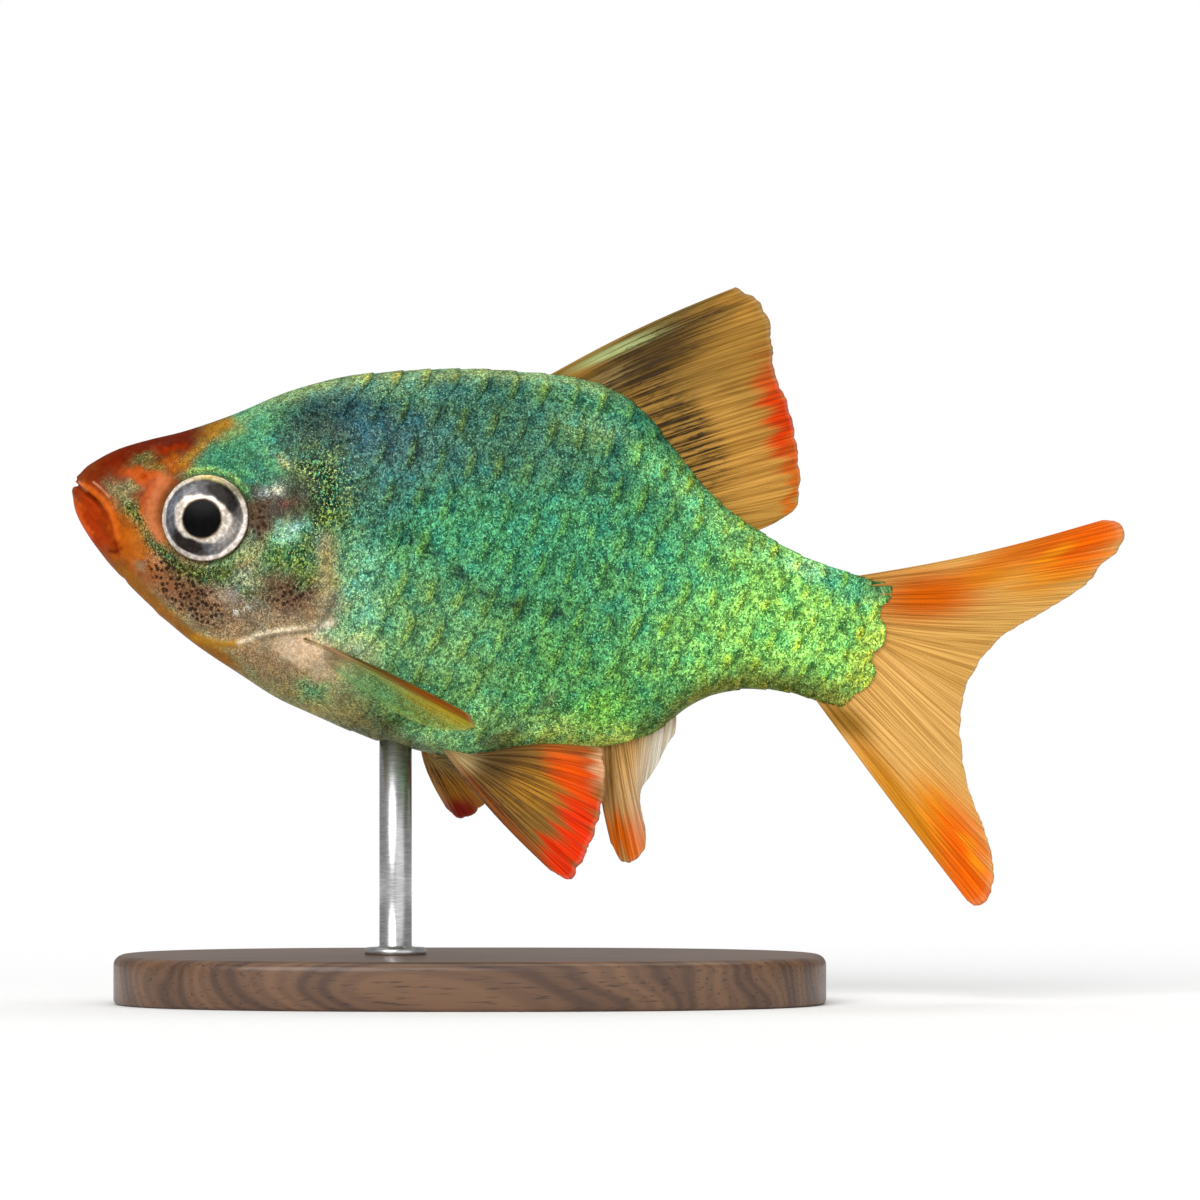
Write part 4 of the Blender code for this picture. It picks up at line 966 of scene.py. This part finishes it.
def fin_material(name, web_alpha, ray_alpha):
    """Webs and rays: fine streaks that run out along the rays, joints across them, a soft wet gloss."""
    fin = Finish(name, Coat_Weight=0.02, Coat_Roughness=0.2, Specular_IOR_Level=0.03)
    tint = fin.vector_layer("tint")
    fan = fin.vector_layer("fan")
    ray = fin.layer("ray")
    dark = fin.layer("streaks")
    streak = fin.noise(fin.stretched(fan, 10.0, 0.13, 1.0), 1.0, 3.0, 0.65)
    fleck = fin.noise(fin.stretched(fan, 9.0, 1.1, 1.0), 1.0, 4.0, 0.7)
    joint = fin.node("TexWave", {"bands_direction": "Y"}, {"Vector": fan, "Scale": 1.5, "Distortion": 0.6})
    pale = fin.toned(tint, 1.10, 1.08, 1.06)
    deep = fin.toned(tint, 0.66, 0.58, 0.42)
    colour = fin.mix(streak.rises(0.36, 0.64), deep, pale)
    colour = fin.mix(ray * 0.28 * joint.rises(0.1, 0.9), colour, deep)
    stain = streak.rises(0.53, 0.40) * dark * 0.75 + fleck.rises(0.50, 0.40) * dark * 0.5
    colour = fin.mix(stain * 0.8, colour, (0.040, 0.024, 0.010, 1))
    colour = fin.mix(fin.layer("edge") * 0.15, colour, (0.60, 0.50, 0.36, 1))
    height = ray * 0.5 + streak * 0.6 + joint * ray * 0.2
    return fin.wear(
        Base_Color=colour,
        Roughness=0.5 - ray * 0.12,
        Alpha=1 - fin.layer("veil") * ((1 - web_alpha) - ray * (ray_alpha - web_alpha)),
        Normal=fin.bump(height, 0.5, 0.12),
    )


def make_fin(
    name, node, root, margin, rays, bows, finish, tints, streaks, veil, sink=1.2, sweep=0.0, split=0.0
):
    """A fin as a closed sheet: rows run from the root out, columns from the first ray to the last."""
    columns = (rays - 1) * RAY_COLUMNS + 1
    share = np.linspace(0, 1, columns)
    out = np.linspace(0, 1, FIN_ROWS)[:, None]
    start, end = along(root, share), along(margin, share)
    ray = end - start
    length = np.linalg.norm(ray, axis=1, keepdims=True)
    from_ray = share * (rays - 1)
    from_ray = from_ray - np.round(from_ray)
    fringe_rng = np.random.default_rng(sum(map(ord, name)))
    fringe = np.interp(share, np.linspace(0, 1, rays * 4), fringe_rng.normal(0, 1, rays * 4))
    notch = WEB_NOTCH * (2 * np.abs(from_ray)) ** 2 + 0.05 * np.abs(fringe)
    way = ray / length
    end = end - way * np.minimum(notch, 0.1 * length[:, 0])[:, None]
    start = start - way * sink
    aside = np.stack([-ray[:, 2], 0 * ray[:, 0], ray[:, 0]], 1) / length
    bow = np.interp(share, (0, 1), bows)
    middle = start + (end - start) * out[..., None]
    middle += aside * (bow * np.sin(math.pi * out))[..., None]
    middle[..., 1] += sweep * out**2 + 0.10 * out * np.sin(share * 7.0 + len(name))
    middle[..., 2] += split * share**6
    branch = 0.25 * rise(out, BRANCH_FROM, 1.0)
    twig = 0.11 * rise(out, TWIG_FROM, 1.05)
    off = np.abs(np.abs(np.abs(from_ray) - branch) - twig)
    ridge = hump(off, 0.07 + 0.02 * (1 - out)) * (1 - 0.45 * out)
    edge_ray = np.maximum(hump(share, 0.6 / rays / 2), hump(1 - share, 0.4 / rays / 2))
    ridge = np.maximum(ridge, 0.9 * edge_ray * (1 - 0.5 * out))
    half = WEB_HALF * (1.3 - 0.8 * out) + RAY_HALF * ridge * (1 - 0.75 * out)
    normal = np.cross(np.gradient(middle, axis=0), np.gradient(middle, axis=1))
    normal /= np.linalg.norm(normal, axis=-1, keepdims=True) + 1e-12
    points = np.stack([middle + normal * half[..., None], middle - normal * half[..., None]])
    at = np.arange(FIN_ROWS * columns).reshape(FIN_ROWS, columns)
    quads = np.stack([at[:-1, :-1], at[:-1, 1:], at[1:, 1:], at[1:, :-1]], -1).reshape(-1, 4)
    rim = np.concatenate([at[0, :-1], at[:-1, -1], at[-1, :0:-1], at[:0:-1, 0]])
    after = np.roll(rim, -1)
    below = at.size
    band = np.stack([after, rim, rim + below, after + below], -1)
    faces = np.concatenate([quads, quads[:, ::-1] + below, band])
    feather = middle + way * (0.55 * fringe * rise(out, 0.3, 0.9))[..., None]
    x, z = feather[..., 0], feather[..., 2]
    tint = np.broadcast_to(dye(*tints[0]), (*x.shape, 3)).copy()
    for at_x, at_z, long, high, lean, strength, colour in tints[1:]:
        covered = strength * soft_patch(x, z, at_x, at_z, long, high, lean)
        tint = tint + (dye(*colour) - tint) * covered[..., None]
    layers = {
        "place": middle,
        "tint": tint,
        "fan": np.stack(np.broadcast_arrays(share * rays, out * length[:, 0], 0.3 * rays), -1),
        "ray": ridge,
        "streaks": streaks(x, z, share, out) + 0 * x,
        "veil": veil(x, z, share, out) + 0 * x,
        "edge": rise(out, 0.965, 0.995) + 0 * x,
    }
    layers = {key: np.stack([value, value]) for key, value in layers.items()}
    layers = {key: v.reshape(-1, 3) if v.ndim == 4 else v.ravel() for key, v in layers.items()}
    points_m = to_metres(points.reshape(-1, 3))
    return new_piece(name, points_m, faces, finish, "root", (node,), layers)


def dorsal_streaks(x, z, share, out):
    """A dark field over the root and a dark band behind the first ray."""
    field = 1.6 * soft_patch(x, z, 36.1, 10.9, 4.3, 1.6, -45)
    band = 1.3 * soft_patch(x, z, 33.7, 15.3, 4.6, 1.4, 44)
    return np.clip(field + band, 0.14, 1.5)


def anal_streaks(x, z, share, out):
    """Dark streaks at the front of the root."""
    return 0.55 * rise(0.5 - share, 0, 0.4) * rise(0.7 - out, 0, 0.4) + 0.08


def tail_streaks(x, z, share, out):
    """Faint streaks at the root."""
    return 0.22 * rise(0.45 - out, 0, 0.45) + 0.05


def pelvic_streaks(x, z, share, out):
    """A dark field over the middle, strongest at the front."""
    return 1.3 * rise(out, 0.14, 0.36) * rise(0.82 - out, 0, 0.35) * (1 - 0.5 * share) + 0.05


def pectoral_streaks(x, z, share, out):
    """A dark line along the first ray."""
    return (1.1 * hump(share, 0.035) * rise(1.0 - out, 0, 0.3) + 0.15) * rise(out, 0.15, 0.4)


def no_veil(x, z, share, out):
    """No part of the web is clear."""
    return 0


# How solid a web and its rays look where the fin is clearest
fin_finish = fin_material("fin_web", 0.72, 0.89)
clear_finish = fin_material("clear_web", 0.12, 0.5)

# The tints of each fin: the ground colour, then patches as on the skin: x, z, half length,
# half height, lean in degrees, strength, colour
make_fin(
    "dorsal_web", "dorsal_fin", profile_root(28.4, 42.3, 0), in_plane(DORSAL_MARGIN),
    11, (0.25, -0.1), fin_finish,
    (
        (168, 127, 58),
        (36.2, 12.8, 3.0, 2.3, -45, 0.75, (134, 103, 50)),
        (33.4, 15.0, 4.6, 1.4, 45, 0.9, (70, 54, 30)),
        (31.2, 12.9, 1.6, 0.7, 40, 0.7, (146, 124, 80)),
        (38.4, 12.2, 1.6, 1.2, -45, 0.8, (196, 150, 74)),
        (41.4, 9.6, 3.0, 3.0, 0, 0.85, (198, 147, 70)),
        (32.9, 16.4, 4.2, 0.3, 38, 0.85, (112, 98, 54)),
        (31.4, 14.95, 2.9, 0.3, 34, 0.95, (170, 184, 126)),
        (42.25, 12.6, 3.2, 1.05, -65, 1.0, (214, 58, 1)),
        (43.6, 8.6, 2.6, 0.4, -82, 0.8, (204, 98, 14)),
        (38.8, 19.2, 1.3, 0.7, -30, 0.6, (194, 144, 64)),
    ),
    dorsal_streaks,
    lambda x, z, share, out: rise(out, 0.85, 1.0) * 0.2,
    sweep=0.5,
)
make_fin(
    "anal_web", "anal_fin", profile_root(34.85, 39.1, 1), in_plane(ANAL_MARGIN),
    7, (-0.25, 0.1), fin_finish,
    (
        (204, 162, 98),
        (35.5, -11.6, 0.6, 2.6, 0, 0.85, (146, 106, 60)),
        (37.0, -12.0, 0.7, 1.8, 0, 0.8, (226, 184, 126)),
        (37.5, -14.7, 1.25, 1.5, 0, 1.0, (255, 122, 0)),
        (38.6, -9.6, 1.1, 3.6, 0, 0.98, (232, 228, 216)),
    ),
    anal_streaks,
    lambda x, z, share, out: rise(share, 0.35, 0.8) * rise(out, 0.2, 0.9),
    sink=1.3,
)
for name, node, root, margin, bow, split, tints in (
    (
        "tail_web_upper", "tail_fin_upper", TAIL_UPPER_ROOT, TAIL_UPPER_MARGIN,
        (-0.35, 0.0), -0.08,
        (
            (216, 168, 92),
            (56.2, 5.3, 2.2, 0.7, 24, 0.85, (222, 140, 20)),
            (53.1, 3.5, 3.0, 1.35, 17, 1.0, (208, 96, 0)),
            (60.6, 6.7, 2.8, 1.2, 34, 0.85, (226, 142, 4)),
            (58.8, 7.6, 3.8, 0.8, 30, 0.9, (216, 110, 2)),
            (62.2, 8.7, 3.0, 1.4, 36, 1.0, (232, 98, 0)),
            (60.6, 7.6, 1.2, 0.4, 38, 0.8, (236, 148, 20)),
        ),
    ),
    (
        "tail_web_lower", "tail_fin_lower", TAIL_LOWER_ROOT, TAIL_LOWER_MARGIN,
        (-0.05, 0.0), 0.08,
        (
            (226, 178, 104),
            (54.0, -9.5, 5.6, 0.7, -44, 0.9, (206, 134, 14)),
            (56.4, -10.0, 2.6, 1.2, -52, 0.9, (236, 146, 2)),
            (58.4, -12.4, 3.4, 1.6, -62, 1.0, (242, 102, 0)),
            (58.9, -11.8, 1.2, 0.4, -60, 0.8, (244, 152, 24)),
            (49.4, -5.0, 1.6, 0.7, -20, 0.9, (158, 116, 40)),
        ),
    ),
):
    make_fin(
        name, node, in_plane(root), in_plane(margin), 10, bow, fin_finish, tints, tail_streaks, no_veil,
        sink=1.9, sweep=0.9, split=split,
    )
for name, node, rim, tints in (
    (
        "pelvic_web_left", "pelvic_fin_left", pelvic_rim(-1, (26.0, 27.7), PELVIC_LEFT_MARGIN, 2.9),
        (
            (136, 100, 44),
            (25.8, -12.0, 1.9, 1.0, 20, 0.9, (226, 206, 156)),
            (29.4, -11.4, 1.9, 1.2, 0, 0.8, (92, 72, 46)),
            (34.2, -14.4, 3.9, 1.2, -86, 1.0, (232, 50, 2)),
            (31.2, -12.4, 1.6, 1.3, 0, 0.7, (190, 134, 40)),
            (33.2, -11.3, 1.7, 0.9, -40, 0.95, (238, 84, 4)),
            (33.8, -16.9, 1.6, 1.0, 0, 1.0, (232, 52, 2)),
            (35.3, -10.4, 0.7, 1.1, 0, 0.9, (226, 170, 128)),
            (29.6, -14.6, 5.0, 0.35, -38, 0.8, (156, 84, 42)),
        ),
    ),
    (
        "pelvic_web_right", "pelvic_fin_right", pelvic_rim(1, (24.2, 25.9), PELVIC_RIGHT_MARGIN, 6.6),
        (
            (204, 144, 48),
            (26.0, -11.6, 1.8, 1.0, 0, 0.9, (196, 184, 130)),
            (27.0, -15.0, 1.2, 0.8, 0, 1.0, (168, 30, 8)),
            (29.8, -12.8, 1.6, 0.6, 40, 0.7, (214, 150, 80)),
        ),
    ),
):
    make_fin(name, node, *rim, 8, (-0.3, 0.65), fin_finish, tints, pelvic_streaks, no_veil, sink=1.4)
for side, word, flare in ((-1, "left", 1.6), (1, "right", 3.2)):
    make_fin(
        "pectoral_web_" + word, "pectoral_fin_" + word, *pectoral_rim(side, flare),
        10, (0.2, -0.2), clear_finish,
        (
            (168, 174, 60),
            (19.5, -7.0, 5.0, 0.45, -14, 0.9, (166, 150, 84)),
            (20.0, -8.0, 3.2, 0.7, -20, 0.7, (110, 172, 112)),
            (17.2, -6.5, 1.8, 1.0, 0, 0.95, (214, 178, 140)),
            (22.4, -7.7, 5.0, 0.16, -17, 0.9, (84, 62, 20)),
            (24.8, -8.4, 3.0, 0.32, -17, 0.95, (142, 76, 16)),
            (19.0, -7.9, 0.7, 0.4, -20, 0.8, (128, 196, 142)),
            (21.0, -8.7, 0.8, 0.5, -20, 0.8, (122, 190, 130)),
            (24.2, -9.0, 2.0, 0.45, -14, 0.8, (190, 158, 30)),
        ),
        pectoral_streaks,
        lambda x, z, share, out: rise(share, 0.04, 0.3),
        sink=0.9,
    )

# Stand
# A low oval base of oiled walnut with a rounded edge, and one brushed steel rod let into it. The
# rod's top is let into the belly, and a thin steel collar covers the hole in the wood.
BASE_LENGTH, BASE_WIDTH, BASE_HEIGHT, BASE_X = 44.0, 26.0, 3.0, -8.0
BASE_POWER, BASE_ROUND, BASE_SIDES = 2.5, 0.6, 192
ROD_X, ROD_RADIUS, ROD_SUNK, ROD_LET_IN, ROD_SIDES = -12.6, 1.0, 1.6, 1.0, 64
COLLAR_RADIUS, COLLAR_HEIGHT, COLLAR_EDGE = 1.9, 0.45, 0.12

walnut = Finish("oiled_walnut", Coat_Weight=0.25, Coat_Roughness=0.18)
wood_place = walnut.vector_layer("place")
sway = walnut.noise(walnut.stretched(wood_place, 0.03, 0.10, 0.10), 1.0, 2.0, 0.5)
across_grain = walnut.axes(wood_place)[1]
bands = walnut.node("Math", {"operation": "SINE"}, {0: across_grain * 2.6 + sway * 30.0})
lines = walnut.node("Math", {"operation": "SINE"}, {0: across_grain * 11.0 + sway * 110.0})
pores = walnut.noise(walnut.stretched(wood_place, 0.35, 6.0, 6.0), 1.0, 3.0, 0.6)
figure = bands.rises(-1.0, 1.0) * 0.6 + lines.rises(-1.0, 1.0) * 0.4
wood_colour = walnut.mix(figure, (0.070, 0.030, 0.014, 1), (0.165, 0.080, 0.037, 1))
wood_colour = walnut.mix(pores.rises(0.56, 0.68) * 0.7, wood_colour, (0.022, 0.010, 0.005, 1))
walnut_material = walnut.wear(
    Base_Color=wood_colour,
    Roughness=0.36 + pores * 0.22,
    Normal=walnut.bump(pores * -1.0, 0.3, 0.06),
)
base_turn = np.linspace(0, 2 * math.pi, BASE_SIDES, endpoint=False)
oval_x, oval_y = (
    np.sign(v) * np.abs(v) ** (2 / BASE_POWER) for v in (np.cos(base_turn), np.sin(base_turn))
)
curve = np.linspace(0, math.pi / 2, 7)
innermost = BASE_WIDTH / 2 - 0.01
insets = [innermost, 8.0, 3.0, 0.25, 0.08, 0.0]
heights = [0.0, 0.0, 0.0, 0.0, 0.08, 0.25]
insets += list(BASE_ROUND * (1 - np.cos(curve))) + [1.2, 3.0, 7.0, innermost]
heights += list(BASE_HEIGHT - BASE_ROUND * (1 - np.sin(curve))) + [BASE_HEIGHT] * 4
base_rings = []
for inset, height in zip(insets, heights):
    ring_x = BASE_X + oval_x * (BASE_LENGTH / 2 - inset)
    ring_y = oval_y * (BASE_WIDTH / 2 - inset)
    base_rings.append(np.stack([ring_x, ring_y, np.full(BASE_SIDES, height)], -1))
base_mm = np.concatenate(base_rings)
base_faces = capped_faces(len(insets), BASE_SIDES)
new_piece(
    "walnut_base", base_mm * MM, base_faces, walnut_material, "root", ("stand_base",),
    {"place": base_mm},
)

steel = Finish("brushed_steel", Metallic=1.0)
steel_place = steel.vector_layer("place")
brushing = steel.noise(steel.stretched(steel_place, 1.0, 1.0, 14.0), 1.3, 3.0, 0.6)
steel_colour = steel.mix(brushing.rises(0.3, 0.7), (0.42, 0.42, 0.43, 1), (0.66, 0.66, 0.67, 1))
steel_material = steel.wear(
    Base_Color=steel_colour,
    Roughness=0.24 + brushing * 0.16,
    Normal=steel.bump(brushing, 0.15, 0.02),
)
under_x = np.linspace(15, 30, 60)
under = to_metres(np.stack([under_x, 0 * under_x, section(under_x)[1]], -1)) / MM
rod_top = float(np.interp(ROD_X, under[:, 0], under[:, 2])) + ROD_LET_IN
rod_turn = np.linspace(0, 2 * math.pi, ROD_SIDES, endpoint=False)
rod_rings = []
for radius, height in (
    (0.01, BASE_HEIGHT - ROD_SUNK),
    (ROD_RADIUS, BASE_HEIGHT - ROD_SUNK),
    (ROD_RADIUS, BASE_HEIGHT - 0.05),
    (COLLAR_RADIUS, BASE_HEIGHT - 0.05),
    (COLLAR_RADIUS, BASE_HEIGHT + COLLAR_HEIGHT - COLLAR_EDGE),
    (COLLAR_RADIUS - COLLAR_EDGE, BASE_HEIGHT + COLLAR_HEIGHT),
    (ROD_RADIUS + COLLAR_EDGE, BASE_HEIGHT + COLLAR_HEIGHT),
    (ROD_RADIUS, BASE_HEIGHT + COLLAR_HEIGHT + COLLAR_EDGE),
    (ROD_RADIUS, BASE_HEIGHT + 4.0),
    (ROD_RADIUS, rod_top),
    (0.01, rod_top),
):
    rod_rings.append([(ROD_X + radius * math.cos(t), radius * math.sin(t), height) for t in rod_turn])
rod_mm = np.array(rod_rings).reshape(-1, 3)
rod_faces = capped_faces(len(rod_rings), ROD_SIDES)
new_piece(
    "steel_rod", rod_mm * MM, rod_faces, steel_material, "root", ("stand_rod",),
    {"place": rod_mm},
)

# Floor, lights and camera
# A wide pale floor under a white studio sky, lit by three broad, soft lamps. The camera looks level
# at the left side, as far off as a long lens would be.
FLOOR_RADIUS, FLOOR_SIDES = 3000.0, 96
SKY_LIGHT, SKY_SEEN = 0.36, 1.0
VIEW_CENTRE_X, VIEW_CENTRE_Z, VIEW_WIDTH, VIEW_DISTANCE = 0.03, 24.91, 74.14, 600.0

floor_turn = np.linspace(0, 2 * math.pi, FLOOR_SIDES, endpoint=False)
floor_mesh = bpy.data.meshes.new("floor")
floor_points = [(FLOOR_RADIUS * MM * math.cos(t), FLOOR_RADIUS * MM * math.sin(t), 0) for t in floor_turn]
floor_mesh.from_pydata(floor_points, [], [list(range(FLOOR_SIDES))])
paper = Finish("floor_paper", Roughness=0.9)
paper_grain = paper.noise(paper.node("NewGeometry", {}, {}), 900.0, 3.0, 0.5)
floor_mesh.materials.append(
    paper.wear(Base_Color=paper.mix(paper_grain, (0.88, 0.88, 0.88, 1), (0.94, 0.94, 0.94, 1)))
)
floor = bpy.data.objects.new("floor", floor_mesh)
bpy.context.scene.collection.objects.link(floor)

world = bpy.data.worlds.new("studio")
world.use_nodes = True
bpy.context.scene.world = world
sky = world.node_tree.nodes["Background"]
sky.inputs["Color"].default_value = (1, 1, 1, 1)
sky.inputs["Strength"].default_value = SKY_LIGHT
seen_sky = world.node_tree.nodes.new("ShaderNodeBackground")
seen_sky.inputs["Color"].default_value = (1, 1, 1, 1)
seen_sky.inputs["Strength"].default_value = SKY_SEEN
path_node = world.node_tree.nodes.new("ShaderNodeLightPath")
choice = world.node_tree.nodes.new("ShaderNodeMixShader")
world.node_tree.links.new(path_node.outputs["Is Camera Ray"], choice.inputs[0])
world.node_tree.links.new(sky.outputs[0], choice.inputs[1])
world.node_tree.links.new(seen_sky.outputs[0], choice.inputs[2])
world.node_tree.links.new(choice.outputs[0], world.node_tree.nodes["World Output"].inputs["Surface"])

# Each lamp: its name, where it stands from the fish, its breadth in degrees, its strength
for name, stands, breadth, strength in (
    ("key_lamp", (-0.35, -0.75, 0.56), 40, 0.62),
    ("fill_lamp", (0.55, -0.80, 0.15), 60, 0.22),
    ("top_lamp", (0.1, 0.25, 1.0), 50, 0.40),
):
    lamp = bpy.data.lights.new(name, "SUN")
    lamp.angle = math.radians(breadth)
    lamp.energy = math.pi * strength
    lamp_object = bpy.data.objects.new(name, lamp)
    from_above = math.atan2(math.hypot(stands[0], stands[1]), stands[2])
    lamp_object.rotation_euler = (from_above, 0, math.atan2(stands[1], stands[0]) + math.pi / 2)
    bpy.context.scene.collection.objects.link(lamp_object)

view = bpy.data.cameras.new("camera")
view.sensor_width = 36
view.lens = view.sensor_width * VIEW_DISTANCE / VIEW_WIDTH
view.clip_start = 0.01
view.clip_end = 20
camera = bpy.data.objects.new("camera", view)
camera.location = (VIEW_CENTRE_X * MM, -VIEW_DISTANCE * MM, VIEW_CENTRE_Z * MM)
camera.rotation_euler = (math.pi / 2, 0, 0)
bpy.context.scene.collection.objects.link(camera)
bpy.context.scene.camera = camera
bpy.context.scene.view_settings.view_transform = "Standard"
